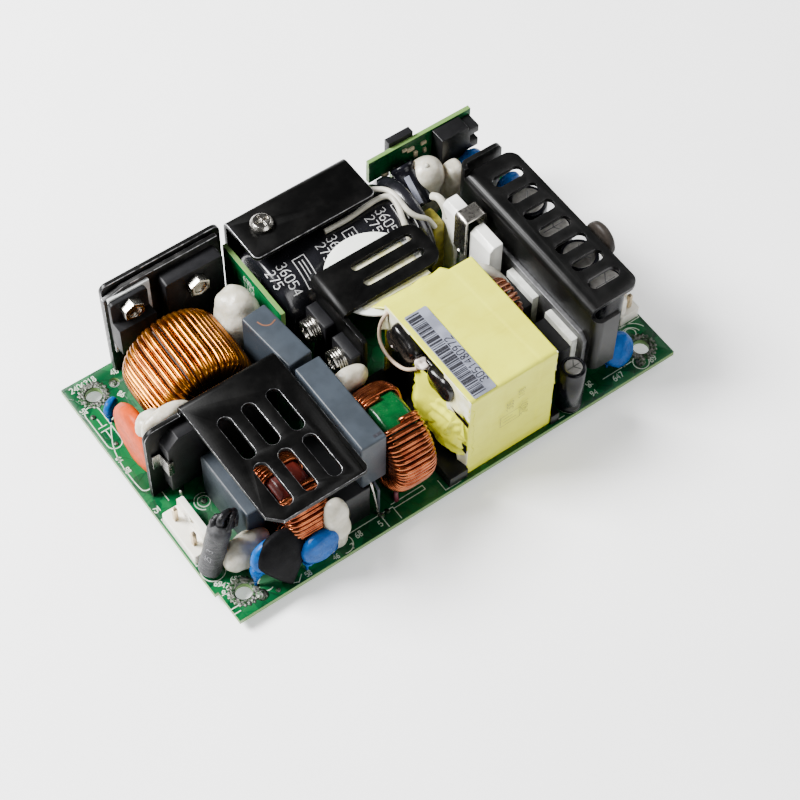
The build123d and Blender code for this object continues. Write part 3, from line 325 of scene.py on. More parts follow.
# %% Green board
def lacquered_board(name, axis):
    """Green lacquer on the faces that look along an axis, and pale glass fibre on the cut edges."""
    f = Finish(name, (0.0, 0.13, 0.045), 0.3, specular_ior_level=0.25)
    kind, slanted = "ShaderNodeTexVoronoi", f.at(turn=(0, 0, 0.785))
    pours = f.node(kind, {"distance": "MANHATTAN"}, "Color", Vector=f.place, Scale=1 / (7 * MM))
    pour = f.node("ShaderNodeSeparateColor", output="Red", Color=pours)
    edges = {"distance": "CHEBYCHEV", "feature": "DISTANCE_TO_EDGE"}
    tracks = f.node(kind, edges, "Distance", Vector=slanted, Scale=1 / (4.2 * MM))
    copper = pour.step(0.45, 0.5) * 0.7 + tracks.step(0.03, 0.05) * 0.3
    face = f.mix(copper, (0.0, 0.034, 0.010), (0.0, 0.088, 0.022))
    along = f.facing()[axis]
    f.set("Base Color", f.mix((along * along).step(0.3, 0.6), (0.12, 0.22, 0.06), face))
    f.set("Roughness", f.noise(3) * 0.2 + 0.22)
    return f.relief(copper + f.noise(0.5, 3) * 0.15, 0.05)


board_green = lacquered_board("board_green", 2)
side_green = lacquered_board("control_board_green", 0)
rear_green = lacquered_board("standby_board_green", 1)
print("green board")

# %% The other finishes of fixed parts
solder = plated("solder", (0.74, 0.74, 0.73), 0.3, 0.05)
grey_pad = moulded("grey_pad", (0.50, 0.51, 0.50), 0.7)
black_package = moulded("black_package", (0.006, 0.006, 0.007), 0.46, 0.03, specular_ior_level=0.22)
bright_screw = plated("bright_screw", (0.40, 0.385, 0.35), 0.2)
black_case = moulded("black_case", (0.006, 0.006, 0.0065), 0.34, specular_ior_level=0.25)
blue_grey_case = moulded("blue_grey_case", (0.026, 0.033, 0.042), 0.42, 0.02, 6, 0.15, specular_ior_level=0.3)
white_film = moulded("white_film", (0.80, 0.82, 0.76), 0.38, 0.01, 6, 0.06)
ferrite = moulded("ferrite", (0.005, 0.0045, 0.0045), 0.2, 0.02, 1.5, 0.5, specular_ior_level=0.4)
grey_bar = plated("grey_bar", (0.16, 0.16, 0.165), 0.5)
white_insulator = moulded("white_insulator", (0.62, 0.63, 0.58), 0.42)
white_boot = moulded("white_boot", (0.80, 0.80, 0.76), 0.34, 0.01, 5, 0.05, coat_weight=0.2)
spring_steel = plated("spring_steel", (0.46, 0.44, 0.40), 0.26)
dark_clip = plated("dark_clip", (0.16, 0.155, 0.145), 0.22)
cream_nylon = moulded("cream_nylon", (0.80, 0.77, 0.68), 0.36, 0.01, 6, 0.06, subsurface_weight=0.1,
                      subsurface_radius=(0.002, 0.0015, 0.001), subsurface_scale=1.0)
tinned_pin = plated("tinned_pin", (0.62, 0.50, 0.34), 0.3)
dark_sleeve = moulded("dark_sleeve", (0.004, 0.004, 0.006), 0.2, 0.01, 3, 0.3, specular_ior_level=0.22)
silicone = Finish("white_silicone", (0.66, 0.63, 0.54), 0.34, coat_weight=0.12, coat_roughness=0.2,
                  subsurface_weight=0.25, subsurface_radius=(0.004, 0.003, 0.002), subsurface_scale=1.0)
silicone.clouded(3, 0.3, 0.7, (0.43, 0.40, 0.31), (0.60, 0.57, 0.48))
silicone.relief(silicone.noise(2.2, 3), 0.25)
yellow_tape = Finish("yellow_tape", (0.74, 0.68, 0.05), 0.34, specular_ior_level=0.35)
label_paper = moulded("label_paper", (0.17, 0.18, 0.225), 0.5, specular_ior_level=0.3)
print(len(bpy.data.materials), "finishes")

# %% [markdown]
# ## Meshes from arrays
# A surface is a grid of points that a formula gives, so one helper turns an array into a mesh, and
# another says which points make a face. A tube is a grid as well: rings along a path.

# %% Grids and pieces
def grid_faces(rows, columns, wrap_rows=False, wrap_columns=False):
    """The four corners of each cell of a grid of points, counted row by row. A wrapped side joins
    its last line to its first."""
    i = np.arange(rows if wrap_rows else rows - 1)[:, None]
    j = np.arange(columns if wrap_columns else columns - 1)[None, :]
    a, b = i * columns, (i + 1) % rows * columns
    k = (j + 1) % columns
    return np.stack([a + j, a + k, b + k, b + j], -1).reshape(-1, 4)


def piece(name, points, faces, finish, slot, replaces=(), smooth=True):
    """A mesh of points in millimetres, cleaned, dressed, and riding with the board."""
    mesh = bpy.data.meshes.new(name)
    mesh.from_pydata((np.asarray(points, float).reshape(-1, 3) * MM).tolist(), [], np.asarray(faces).tolist())
    shape = bmesh.new()
    shape.from_mesh(mesh)
    bmesh.ops.remove_doubles(shape, verts=shape.verts, dist=1e-7)
    bmesh.ops.recalc_face_normals(shape, faces=shape.faces)
    shape.to_mesh(mesh)
    shape.free()
    mesh.polygons.foreach_set("use_smooth", np.full(len(mesh.polygons), smooth))
    mesh.materials.append(finish.material)
    thing = bpy.data.objects.new(name, mesh)
    bpy.context.scene.collection.objects.link(thing)
    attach(thing, "root")
    if replaces:
        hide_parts(*replaces)
    return thing


def walled(thing, thickness):
    """Gives an open sheet its thickness, inwards from the faces."""
    wall = thing.modifiers.new("wall", "SOLIDIFY")
    wall.thickness, wall.offset = thickness * MM, -1


def joined(parts):
    """Several (points, faces) pairs as one."""
    points, faces, start = [], [], 0
    for p, f in parts:
        p = np.asarray(p, float).reshape(-1, 3)
        points.append(p)
        faces.append(np.asarray(f) + start)
        start += len(p)
    return np.concatenate(points), np.concatenate(faces)


print("a grid of 3 x 4 points has", len(grid_faces(3, 4)), "faces")

# %% Tubes along a path
def unit(v):
    """Each vector divided by its own length."""
    return v / np.maximum(np.linalg.norm(v, axis=-1, keepdims=True), 1e-12)


def tube(path, radius, outward, sides=8):
    """Rings along a path. With t the path's direction and n the outward vector made square to it,
    a ring is the path plus radius times (n cos a + (t x n) sin a). The ends close to a point."""
    path = np.asarray(path, float)
    t = unit(np.gradient(path, axis=0))
    n = np.broadcast_to(np.asarray(outward, float), path.shape)
    n = unit(n - (n * t).sum(1, keepdims=True) * t)
    b = np.cross(t, n)
    r = np.broadcast_to(np.asarray(radius, float), len(path))[:, None, None]
    a = np.linspace(0, 2 * np.pi, sides, endpoint=False)[None, :, None]
    rings = path[:, None] + r * (n[:, None] * np.cos(a) + b[:, None] * np.sin(a))
    first, last = (np.broadcast_to(end[None, None], (1, sides, 3)) for end in (path[0], path[-1]))
    rings = np.concatenate([first, rings, last])
    return rings.reshape(-1, 3), grid_faces(len(rings), sides, False, True)


def eased(points, rounds=3):
    """Corner cutting: each run is replaced by the points a quarter and three quarters along it."""
    p = np.asarray(points, float)
    for _ in range(rounds):
        q = np.stack([p[:-1] * 0.75 + p[1:] * 0.25, p[:-1] * 0.25 + p[1:] * 0.75], 1).reshape(-1, p.shape[1])
        p = np.concatenate([p[:1], q, p[-1:]])
    return p


print("a tube of 5 rings has", len(tube([[0, 0, i] for i in range(5)], 1, (1, 0, 0))[1]), "faces")

# %% [markdown]
# ## Polished copies of fixed parts
# A fixed part's mesh is loose triangles with dead sharp edges, and no real edge is that sharp. A copy
# of it is merged, its flat faces are joined up again, and a narrow bevel rounds every edge. The
# bevel's faces may take a second material. That is how the black sheet gets its bare edges, and the painted
# highlight along them.

# %% A bevelled copy
SHARP = math.radians(28)


def polished(node, finish, edge, slot="", edge_finish=None):
    """Stands for a fixed part: same faces, with each edge sharper than SHARP rounded by edge mm. The
    slot argument is not used."""
    slot = slot or finish.name
    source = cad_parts[node]
    shape = bmesh.new()
    shape.from_mesh(source.data)
    bmesh.ops.remove_doubles(shape, verts=shape.verts, dist=2e-6)
    bmesh.ops.dissolve_limit(shape, angle_limit=math.radians(0.6), verts=shape.verts, edges=shape.edges)
    mesh = bpy.data.meshes.new(node + "_finished")
    shape.to_mesh(mesh)
    shape.free()
    mesh.polygons.foreach_set("use_smooth", np.full(len(mesh.polygons), True))
    mesh.polygons.foreach_set("material_index", np.zeros(len(mesh.polygons), np.int32))
    mesh.materials.append(finish.material)
    if edge_finish:
        mesh.materials.append(edge_finish.material)
    thing = bpy.data.objects.new(node + "_finished", mesh)
    bpy.context.scene.collection.objects.link(thing)
    bevel = thing.modifiers.new("edge", "BEVEL")
    bevel.width, bevel.segments, bevel.limit_method = edge * MM, 2, "ANGLE"
    bevel.angle_limit, bevel.harden_normals = SHARP, True
    bevel.material = 1 if edge_finish else -1
    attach(thing, "root")
    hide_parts(node)


sheets = {"rear_heatsink": satin_sheet, "rear_device_plate": worn_sheet, "capacitor_cover": black_sheet,
          "bridge_heatsink": black_sheet, "middle_heatsink": black_sheet, "output_heatsink": satin_sheet}
for node, finish in sheets.items():
    polished(node, finish, 0.16, "black_sheet", bare_edge_and_painted_highlight)
print(len(sheets), "sheets with bare edges")

# %% The rest of the fixed parts
fixed = {
    "main_board": (board_green, 0.1), "solder_joints": (solder, 0.1), "insulating_pad": (grey_pad, 0.1),
    "rear_device_left": (black_package, 0.2), "rear_device_right": (black_package, 0.2),
    "rear_screws": (bright_screw, 0.15), "cover_screw": (bright_screw, 0.15),
    "cover_nut": (bright_screw, 0.15), "bridge_rectifier": (black_package, 0.3),
    "rectifier_clip": (dark_clip, 0.08, "spring_steel"),
    "film_capacitor_front": (blue_grey_case, 0.12), "film_capacitor_upper": (blue_grey_case, 0.12),
    "film_capacitor_rear": (blue_grey_case, 0.12), "relay": (black_case, 0.25),
    "middle_devices": (black_package, 0.2), "middle_screws": (bright_screw, 0.15),
    "middle_washers": (bright_screw, 0.08), "output_spreader": (grey_bar, 0.1),
    "output_insulators": (white_insulator, 0.15), "output_rectifiers": (black_package, 0.2),
    "transistor_boots": (white_boot, 0.3), "output_clip": (spring_steel, 0.08),
    "control_board": (side_green, 0.08, "board_green"), "control_chip": (black_package, 0.12),
    "standby_board": (rear_green, 0.08, "board_green"), "standby_chip": (black_package, 0.12),
    "standby_socket": (black_case, 0.2), "input_connector": (cream_nylon, 0.25),
    "output_connector": (cream_nylon, 0.25), "connector_pins": (tinned_pin, 0.12),
}
for node, row in fixed.items():
    polished(node, *row)
print(len(fixed), "more parts")

# %% [markdown]
# ## Wound chokes
# A choke is one wire wound round a ring. A solid with ridges would do from afar, but the light runs
# along every turn, so each turn has to be real. The wire's centre goes round the ring's section once
# per turn, while the section itself moves on round the axis: a helix bent into a circle.

# %% The path of a wound wire
def wound_path(turns, first, sweep, outer, bore, width, wire, square, wander, seed, samples=44):
    """The centre line of a wire on a ring about Z. Turn t is a number from 0 to turns. Its whole part
    picks one of two layers in the bore, its fraction f goes round a squared-off oval section, radius + depth
    S(cos 2 pi f) and height S(sin 2 pi f), where S(x) is the sign of x times |x| to the power
    2 / square. The angle about the axis is first + sweep t / turns, with a small wander per turn."""
    noise = np.random.default_rng(seed)
    t = np.linspace(0, turns, turns * samples + 1)
    turn = np.minimum(t.astype(int), turns - 1)
    f = 2 * np.pi * t
    c, s = np.cos(f), np.sin(f)
    S = lambda x: np.sign(x) * np.abs(x) ** (2 / square)
    drift = np.interp(t, np.arange(turns + 1), noise.normal(0, wander, turns + 1))
    lift = np.interp(t, np.arange(turns + 1), noise.uniform(-0.12, 0.0, turns + 1))
    middle, depth = (outer - wire / 2 + bore + wire / 2) / 2, (outer - bore - wire) / 2
    inside = np.clip(-c, 0, 1) ** 2 * (3 - 2 * np.clip(-c, 0, 1))
    radius = middle + depth * S(c) + inside * (turn % 2) * wire * 0.92 + lift * (c > 0) * c
    height = (width - wire) / 2 * S(s)
    angle = np.radians(first + sweep * t / turns) + drift * wire * 0.5 / radius
    outward = np.stack([np.cos(angle) * c, np.sin(angle) * c, s], 1)
    return np.stack([radius * np.cos(angle), radius * np.sin(angle), height], 1), outward


def placed(points, origin, x_dir, z_dir):
    """Points of a frame with its own x and z directions, in the common frame."""
    x, z = np.array(x_dir, float), np.array(z_dir, float)
    return np.asarray(points) @ np.stack([x, np.cross(z, x), z]) + np.array(origin, float)


SEAT = TOP + 0.7  # a choke's own turns hold it a little above the board
BOOST_TURNS, BOOST_R, BOOST_WIRE = 46, 13.4, 1.6
path, outward = wound_path(BOOST_TURNS, 278, 344, BOOST_R, 4.6, 20.6, BOOST_WIRE, 4.2, 0.3, 3)
points, faces = tube(path, BOOST_WIRE / 2, outward, 10)
points = placed(points, (-40.3, 15.9, SEAT + BOOST_R), (1, 0, 0), (0, -1, 0))
gold_wire = enamelled_wire("gold_wire", (0.41, 0.150, 0.007), (0.19, 0.046, 0.002))
piece("boost_choke_turns", points, faces, gold_wire, "gold_wire", ("boost_choke_winding",))
print("the boost choke has", BOOST_TURNS, "turns and", len(faces), "faces")

# %% The two filter chokes
copper_wire = enamelled_wire("copper_wire", (0.37, 0.105, 0.036), (0.16, 0.030, 0.009))
FILTER_WIRE, FILTER_WIDTH, FILTER_SWEEP = 1.3, 11.4, 142


def filter_choke(name, x, y, r, turns, node, seed):
    """Two windings on one ring, one towards the front and one towards the rear."""
    parts = []
    for k, middle in enumerate((180, 0)):
        path, outward = wound_path(turns, middle - FILTER_SWEEP / 2, FILTER_SWEEP, r, 4.4, FILTER_WIDTH,
                                   FILTER_WIRE, 3.6, 0.35, seed + k, 40)
        parts.append(tube(path, FILTER_WIRE * 0.49, outward, 8))
    points, faces = joined(parts)
    points = placed(points, (x, y, SEAT + r), (0, 1, 0), (1, 0, 0))
    piece(name, points, faces, copper_wire, "copper_wire", (node,))


filter_choke("filter_choke_turns", -12.1, -24.7, 12.9, 23, "filter_choke_windings", 5)
filter_choke("input_choke_turns", -39.2, -24.1, 10.6, 19, "input_choke_windings", 9)
green_core = dipped("green_core", (0.0, 0.050, 0.010), 0.25, 0.03)
red_core = dipped("red_core", (0.10, 0.012, 0.008), 0.3)
powder_core = moulded("powder_core", (0.04, 0.016, 0.005), 0.6)
polished("filter_choke_core", green_core, 0.3)
polished("input_choke_core", red_core, 0.3)
polished("boost_choke_core", powder_core, 0.3)
print("two filter chokes")

# %% [markdown]
# ## Soft and swollen forms
# Set silicone, dipped coats and taped coils have no straight edge. All come from one closed surface,
# a ball squared off by a power, and from smooth noise that pushes it in and out. Nine crossed waves,
# each with a direction of its own, make that noise, the same on every run.

# %% Ripples and squared-off balls
def ripple(points, size, seed=0, waves=9):
    """Smooth noise between -1 and 1: the mean of sines of k . p + phase, where each wave vector k has
    its own direction and a wavelength near size."""
    noise = np.random.default_rng(seed)
    k = unit(noise.normal(size=(waves, 3))) * (2 * np.pi / size) * noise.uniform(0.7, 1.5, (waves, 1))
    return np.sin(np.asarray(points) @ k.T + noise.uniform(0, 6.28, waves)).mean(-1) * 1.8


def lump(centre, radii, square=2.0, rough=0.0, size=3.0, seed=0, rows=26, columns=36, upright=None):
    """A closed ball of three radii. Latitude a and longitude b give S(cos a) S(cos b), S(cos a) S(sin b)
    and S(sin a), with S(x) the sign of x times |x| to the power 2 / square, and each point is then
    pushed along its own direction by rough times a ripple. A square of 2 is a plain ball. With upright
    given, that power holds for the latitude and square only for the longitude."""
    S = lambda x: np.sign(x) * np.abs(x) ** (2 / (upright or square))
    T = lambda x: np.sign(x) * np.abs(x) ** (2 / square)
    a = np.linspace(-np.pi / 2, np.pi / 2, rows)[:, None]
    b = np.linspace(0, 2 * np.pi, columns, endpoint=False)[None]
    shape = np.stack([S(np.cos(a)) * T(np.cos(b)), S(np.cos(a)) * T(np.sin(b)), S(np.sin(a)) + 0 * b], -1)
    p = shape.reshape(-1, 3) * np.array(radii)
    p += unit(shape.reshape(-1, 3)) * (rough * ripple(p + np.array(centre), size, seed))[:, None]
    return p + np.array(centre), grid_faces(rows, columns, False, True)


def turned(shape, angle, axis=(0, 0, 1), about=(0, 0, 0)):
    """A (points, faces) pair turned by degrees about an axis through a point."""
    points, faces = shape
    turn = np.array(Matrix.Rotation(math.radians(angle), 3, Vector(axis)))
    return (points - np.array(about)) @ turn.T + np.array(about), faces


def moved(shape, offset):
    """A (points, faces) pair moved by an offset."""
    return shape[0] + np.array(offset), shape[1]


print("a lump has", len(lump((0, 0, 0), (1, 1, 1))[1]), "faces")

# %% [markdown]
# ## Lines and numerals
# The board, the capacitor and the label carry print. Print is a ribbon on a surface: a polyline with
# a width in the surface's own two directions, and a rule that says where such a point is in space.
# The numerals are strokes on a grid one wide and two high, and say nothing in particular.

# %% Ribbons
def ribbons(lines, width):
    """Flat strips along polylines. Each point goes half a width to either side of its line, along the
    mean of its two neighbours' normals, lengthened at corners so that the strip keeps its width."""
    points, faces, start = [], [], 0
    for line in lines:
        p = np.asarray(line, float)
        n = unit(np.diff(p, axis=0))[:, ::-1] * (1, -1)
        closed = np.allclose(p[0], p[-1])
        before = np.concatenate([n[-1:] if closed else n[:1], n])
        after = np.concatenate([n, n[:1] if closed else n[-1:]])
        mean = unit(before + after)
        mean = mean / np.maximum((mean * before).sum(1, keepdims=True), 0.6)
        points.append(np.stack([p + mean * width / 2, p - mean * width / 2], 1).reshape(-1, 2))
        faces.append(grid_faces(len(p), 2) + start)
        start += 2 * len(p)
    return np.concatenate(points), np.concatenate(faces)


def printed(name, lines, width, on, finish, slot):
    """Ribbons as a piece. The rule called on turns their two directions into places in space."""
    flat, faces = ribbons(lines, width)
    piece(name, on(flat[:, 0], flat[:, 1]), faces, finish, slot, smooth=False)


def level(z):
    """The rule for print on a level face at height z: the two directions are x and y."""
    return lambda u, v: np.stack([u, v, z + 0 * u], 1)


print("a strip along one line has", len(ribbons([[(0, 0), (1, 0)]], 0.2)[0]), "points")

# %% Numerals as strokes
NUMERALS = {
    "0": [[(0, .3), (.3, 0), (.7, 0), (1, .3), (1, 1.7), (.7, 2), (.3, 2), (0, 1.7), (0, .3)]],
    "1": [[(.15, 1.6), (.55, 2), (.55, 0)]],
    "2": [[(0, 1.7), (.3, 2), (.8, 2), (1, 1.7), (1, 1.3), (0, 0), (1, 0)]],
    "3": [[(0, 1.8), (.4, 2), (.8, 2), (1, 1.6), (.8, 1.1), (.4, 1.1)],
          [(.8, 1.1), (1, .6), (.8, 0), (.3, 0), (0, .3)]],
    "4": [[(.8, 0), (.8, 2), (0, .7), (1, .7)]],
    "5": [[(1, 2), (.1, 2), (0, 1.1), (.7, 1.2), (1, .8), (1, .4), (.7, 0), (.2, 0), (0, .2)]],
    "6": [[(.9, 2), (.3, 1.5), (0, .8), (.2, 0), (.8, 0), (1, .5), (.8, 1), (.1, .9)]],
    "7": [[(0, 2), (1, 2), (.35, 0)]],
    "8": [[(.5, 1.1), (.1, 1.4), (.2, 2), (.8, 2), (.9, 1.4), (.5, 1.1), (0, .6), (.2, 0), (.8, 0), (1, .6),
           (.5, 1.1)]],
    "9": [[(.9, 1.1), (.2, 1), (0, 1.5), (.2, 2), (.8, 2), (1, 1.2), (.7, .4), (.1, 0)]],
}


def numerals(text, x, y, height, angle=0.0, spread=1.35):
    """The strokes of a row of numerals that starts at x, y and runs along an angle in degrees."""
    c, s = math.cos(math.radians(angle)), math.sin(math.radians(angle))
    turn = np.array([[c, s], [-s, c]])
    return [(np.array(stroke, float) + (i * spread, 0)) * height / 2 @ turn + (x, y)
            for i, letter in enumerate(text) for stroke in NUMERALS[letter]]


print("numerals", "".join(NUMERALS))

# %% Arcs and outlines
def arc(x, y, r, first, last, steps=24):
    """Part of a circle, as a polyline."""
    a = np.radians(np.linspace(first, last, steps))
    return np.stack([x + r * np.cos(a), y + r * np.sin(a)], 1)


def stadium(x, y, half_w, half_h, steps=10):
    """A slot's outline, its long side along y."""
    top = arc(x, y + half_h - half_w, half_w, 0, 180, steps=steps)
    low = arc(x, y - half_h + half_w, half_w, 180, 360, steps=steps)
    return np.concatenate([top, low, top[:1]])


def box_line(x0, x1, y0, y1):
    """A rectangle as a closed polyline."""
    return [(x0, y0), (x1, y0), (x1, y1), (x0, y1), (x0, y0)]


print("a slot's outline has", len(stadium(0, 0, 1, 3)), "points")

# %% [markdown]
# ### What is printed on the board
# White ink shows where each part goes. Here it is rows of plain numerals, arcs and outlines along the
# board's edges, a hair above the lacquer.

# %% Board print
ink = Finish("board_ink", (0.62, 0.66, 0.58), 0.6)
ink.clouded(0.35, 0.55, 0.72, (0.50, 0.56, 0.46), (0.12, 0.26, 0.13))
rows = [  # numerals, x, y, height, angle
    ("2406318", -61.9, 35.6, 1.5), ("48", -51.2, 34.6, 1.5), ("57", -62.9, 30.4, 1.3, -90),
    ("86", -53.2, 29.2, 1.3, -60), ("64", -62.9, 14.2, 1.2, -90), ("98", -62.9, 10.6, 1.2, -90),
    ("75", -63.1, -2.2, 1.3, -90), ("6947", -62.4, -27.2, 1.3, -50), ("683", -58.8, -28.6, 1.3, -30),
    ("94", -62.4, -30.4, 1.3, -40), ("58", -44.0, -37.6, 1.2), ("46", -36.4, -37.7, 1.2),
    ("7", -31.4, -37.7, 1.4), ("68", -29.0, -36.0, 1.4), ("5", -22.8, -36.6, 1.4),
    ("647", 46.4, -36.6, 1.5), ("89", 57.0, -37.4, 1.5), ("56", 40.0, -33.0, 1.3, -80),
    ("94", 39.3, -36.9, 1.4), ("19", 56.6, 30.0, 1.5), ("7", -47.0, 35.4, 1.3),
]
arcs = [  # x, y, radius, first and last angle
    (-52.3, -7.4, 1.5, 0, 360), (-52.3, -7.4, 2.3, 20, 250), (-60.4, -23.8, 2.9, 150, 340),
    (-52.6, -33.6, 1.8, 100, 300), (-32.6, -35.4, 2.4, 250, 380), (57.9, -29.6, 4.6, 20, 200),
    (57.9, -28.8, 2.7, 10, 200), (58.2, -27.8, 1.4, 0, 360), (55.0, -35.8, 2.0, 0, 360),
    (33.4, -34.8, 3.0, 190, 350),
]
outlines = [
    stadium(-60.7, 23.2, 1.9, 6.8), box_line(-62.9, -56.9, -20.8, -5.9), box_line(57.2, 63.0, -25.2, -15.8),
    eased([(-57.2, 24.4), (-59.0, 23.0), (-62.7, 15.0), (-62.7, 3.6), (-61.6, 2.6), (-60.6, 2.6)], 2),
    [(-61.9, 22.3), (-59.5, 22.3)], [(-61.9, 23.5), (-59.5, 23.5)], [(-60.7, 23.5), (-60.7, 26)],
    [(-60.7, 22.3), (-60.7, 19.5)], [(-60.5, 2.8), (-61.0, 0.5), (-55.4, 0.4)], [(-58.8, 0.4), (-58.8, -2.6)],
    [(-63.0, -34.6), (-60.6, -34.6)], [(-62.9, -36.0), (-60.9, -36.0)],
    [(-47.6, -36.9), (-46.2, -37.6), (-44.6, -36.2)], [(-33.0, -33.9), (-17.6, -33.9), (-17.6, -37.6)],
    [(-21.2, -33.9), (-21.2, -37.8)], [(-17.6, -33.2), (-8.6, -33.2), (-8.6, -34.4), (-17.6, -34.4)],
    [(-4.9, -34.2), (-4.9, -37.4), (-0.4, -37.4)], [(27.4, -33.0), (27.4, -37.2), (30.4, -37.2)],
    [(44.2, -34.4), (53.2, -34.4)],
]
marks = [line for row in rows for line in numerals(*row)] + [arc(*a) for a in arcs] + outlines
printed("board_print", marks, 0.24, level(TOP + 0.02), ink, "board_green")
print(len(marks), "printed lines")

# %% [markdown]
# ### Tinned star pads
# Round each mounting hole is bare copper with a toothed rim, tinned so that the screw's washer bites.
# The rim's radius goes up and down with the angle.

# %% Star pads and solder domes
def star_pad(x, y, teeth=20, inner=2.05, outer=4.0, depth=0.45):
    """A flat ring. Its outer radius is outer less depth times a rounded saw of the angle."""
    a = np.linspace(0, 2 * np.pi, teeth * 8, endpoint=False)
    rim = outer - depth * (0.5 + 0.5 * np.cos(a * teeth)) ** 1.5
    hole = inner + 0 * a
    steps = [(hole, 0.0), (hole, 0.07), (hole + 0.25, 0.10), (rim - 0.25, 0.10), (rim, 0.05), (rim, 0.0)]
    rows = [np.stack([x + r * np.cos(a), y + r * np.sin(a), TOP + z + 0 * a], 1) for r, z in steps]
    return np.concatenate(rows), grid_faces(len(rows), len(a), True, True)


tin = plated("tinned_pad", (0.40, 0.41, 0.38), 0.42, 0.05)
tin.clouded(0.7, 0.4, 0.62, (0.16, 0.16, 0.145), (0.02, 0.05, 0.02))
tin.relief(tin.noise(0.6, 3), 0.22)
HOLE_X, HOLE_Y = 57.785, 32.385
HOLES = [(sx * HOLE_X, sy * HOLE_Y) for sx in (-1, 1) for sy in (-1, 1)]
domes = [  # x, y, radius, height
    (-54.9, -35.4, 1.5, 0.7), (54.9, -35.8, 1.25, 0.25), (-61.2, 27.0, 0.7, 0.3), (-52.1, 32.4, 0.85, 0.2),
    (-60.6, 17.6, 0.6, 0.3), (-52.3, -7.4, 0.8, 0.4), (-21.0, -34.4, 0.7, 0.6), (-19.2, -34.2, 0.6, 0.5),
    (50.9, -34.2, 0.6, 0.4), (-51.2, -36.6, 0.6, 0.4),
]
parts = [star_pad(*h) for h in HOLES]
for i, (x, y, r, h) in enumerate(domes):
    parts.append(lump((x, y, TOP + 0.02), (r, r, h), 2.2, 0.05, 1.0, i, 12, 20))
points, faces = joined(parts)
piece("star_pads", points, faces, tin, "solder")
print(len(HOLES), "star pads and", len(domes), "solder domes")

# %% [markdown]
# ## The transformer
# The biggest part is a block wrapped in yellow tape. The wrap is a sleeve, open at both ends, whose
# corners are soft and whose faces are slightly drawn in. At each end the taped coil bulges out below,
# the black core shows above it, and folded tape hangs over both.

# %% Yellow tape
cloud = yellow_tape.noise(7, 3)
layers = yellow_tape.noise(1.6, 3, at=yellow_tape.at(0.12, 1, 1)).step(0.55, 0.72)
tint = cloud.step(0.3, 0.75) * 0.65 + layers * 0.2
yellow_tape.set("Base Color", yellow_tape.mix(tint, (0.70, 0.72, 0.035), (0.58, 0.56, 0.014)))
yellow_tape.set("Roughness", cloud * 0.18 + 0.26)
yellow_tape.relief(yellow_tape.noise(2.8, 2, at=yellow_tape.at(0.5, 1, 1)) + layers * 0.1, 0.10)
cream_tape = Finish("cream_tape", (0.78, 0.75, 0.46), 0.4, subsurface_weight=0.1,
                    subsurface_radius=(0.001, 0.001, 0.0005), subsurface_scale=1.0)
cream_tape.clouded(3, 0.3, 0.7, (0.66, 0.62, 0.28), (0.84, 0.82, 0.62))
cream_tape.relief(cream_tape.noise(1.5, 2), 0.1)
# Two opposite corners of the wrapped block.
T0, T1 = np.array([1.5, -36.8, TOP + 0.1]), np.array([26.0, -3.6, TOP + 30.4])


def tape_sleeve(rows=70, corner=1.1, low_corner=0.3):
    """A rounded rectangle in y and z, carried along x. Going round it by angle b, a point is the
    rectangle's corner centre plus corner times (cos b, sin b), and straight runs join the quarters.
    Ripples press the faces in by up to half a millimetre, least at the edges. The last turn laps over
    by a step near the right end, and below a smooth limit the foot stands out over the base plate."""
    cy, cz = (T0[1] + T1[1]) / 2, (T0[2] + T1[2]) / 2
    hy, hz = (T1[1] - T0[1]) / 2 - corner, (T1[2] - T0[2]) / 2 - corner
    quarter, run = np.linspace(0, np.pi / 2, 7), np.linspace(0, 1, 26)[1:-1, None]
    signs = ((1, 1), (-1, 1), (-1, -1), (1, -1))

    def bend(k, b):
        sy, sz = signs[k % 4]
        c = corner if sz > 0 else low_corner
        return np.stack([sy * (hy + corner - c) + c * np.cos(b), sz * (hz + corner - c) + c * np.sin(b)], 1)

    ring = []
    for k in range(4):
        b = quarter + k * np.pi / 2
        here, after = bend(k, b), bend(k + 1, b[-1:])
        ring += [here, here[-1] * (1 - run) + after * run]
    ring = np.concatenate(ring)
    x = np.linspace(T0[0], T1[0], rows)[:, None]
    p = np.stack(np.broadcast_arrays(x, ring[None, :, 0] + cy, ring[None, :, 1] + cz), -1).reshape(-1, 3)
    y, z = p[:, 1] - cy, p[:, 2] - cz
    inward = -unit(np.stack([0 * y, y / hy, z / hz], 1) ** 5)
    flat = 1 - np.clip(np.abs(y) / (hy + corner) * np.abs(z) / (hz + corner), 0, 1) ** 4
    press = 0.13 * (1 + ripple(p, 13, 4)) + 0.05 * (1 + ripple(p, 3.5, 5)) * (p[:, 0] < 8)
    lap = 0.15 / (1 + np.exp(-8 * (p[:, 0] - 20.6 + 0.05 * (p[:, 1] + 20))))
    below = 1 / (1 + np.exp(4 * (p[:, 2] - TOP - 4.6)))
    sink = (press * flat + 0.15 - lap) * (1 - below) - 0.06 * below
    return p + inward * sink[:, None], grid_faces(rows, len(ring), False, True)


points, faces = tape_sleeve()
walled(piece("transformer_wrap", points, faces, yellow_tape, "yellow_tape", ("transformer_tape",)), 0.45)
print("the wrap has", len(faces), "faces")

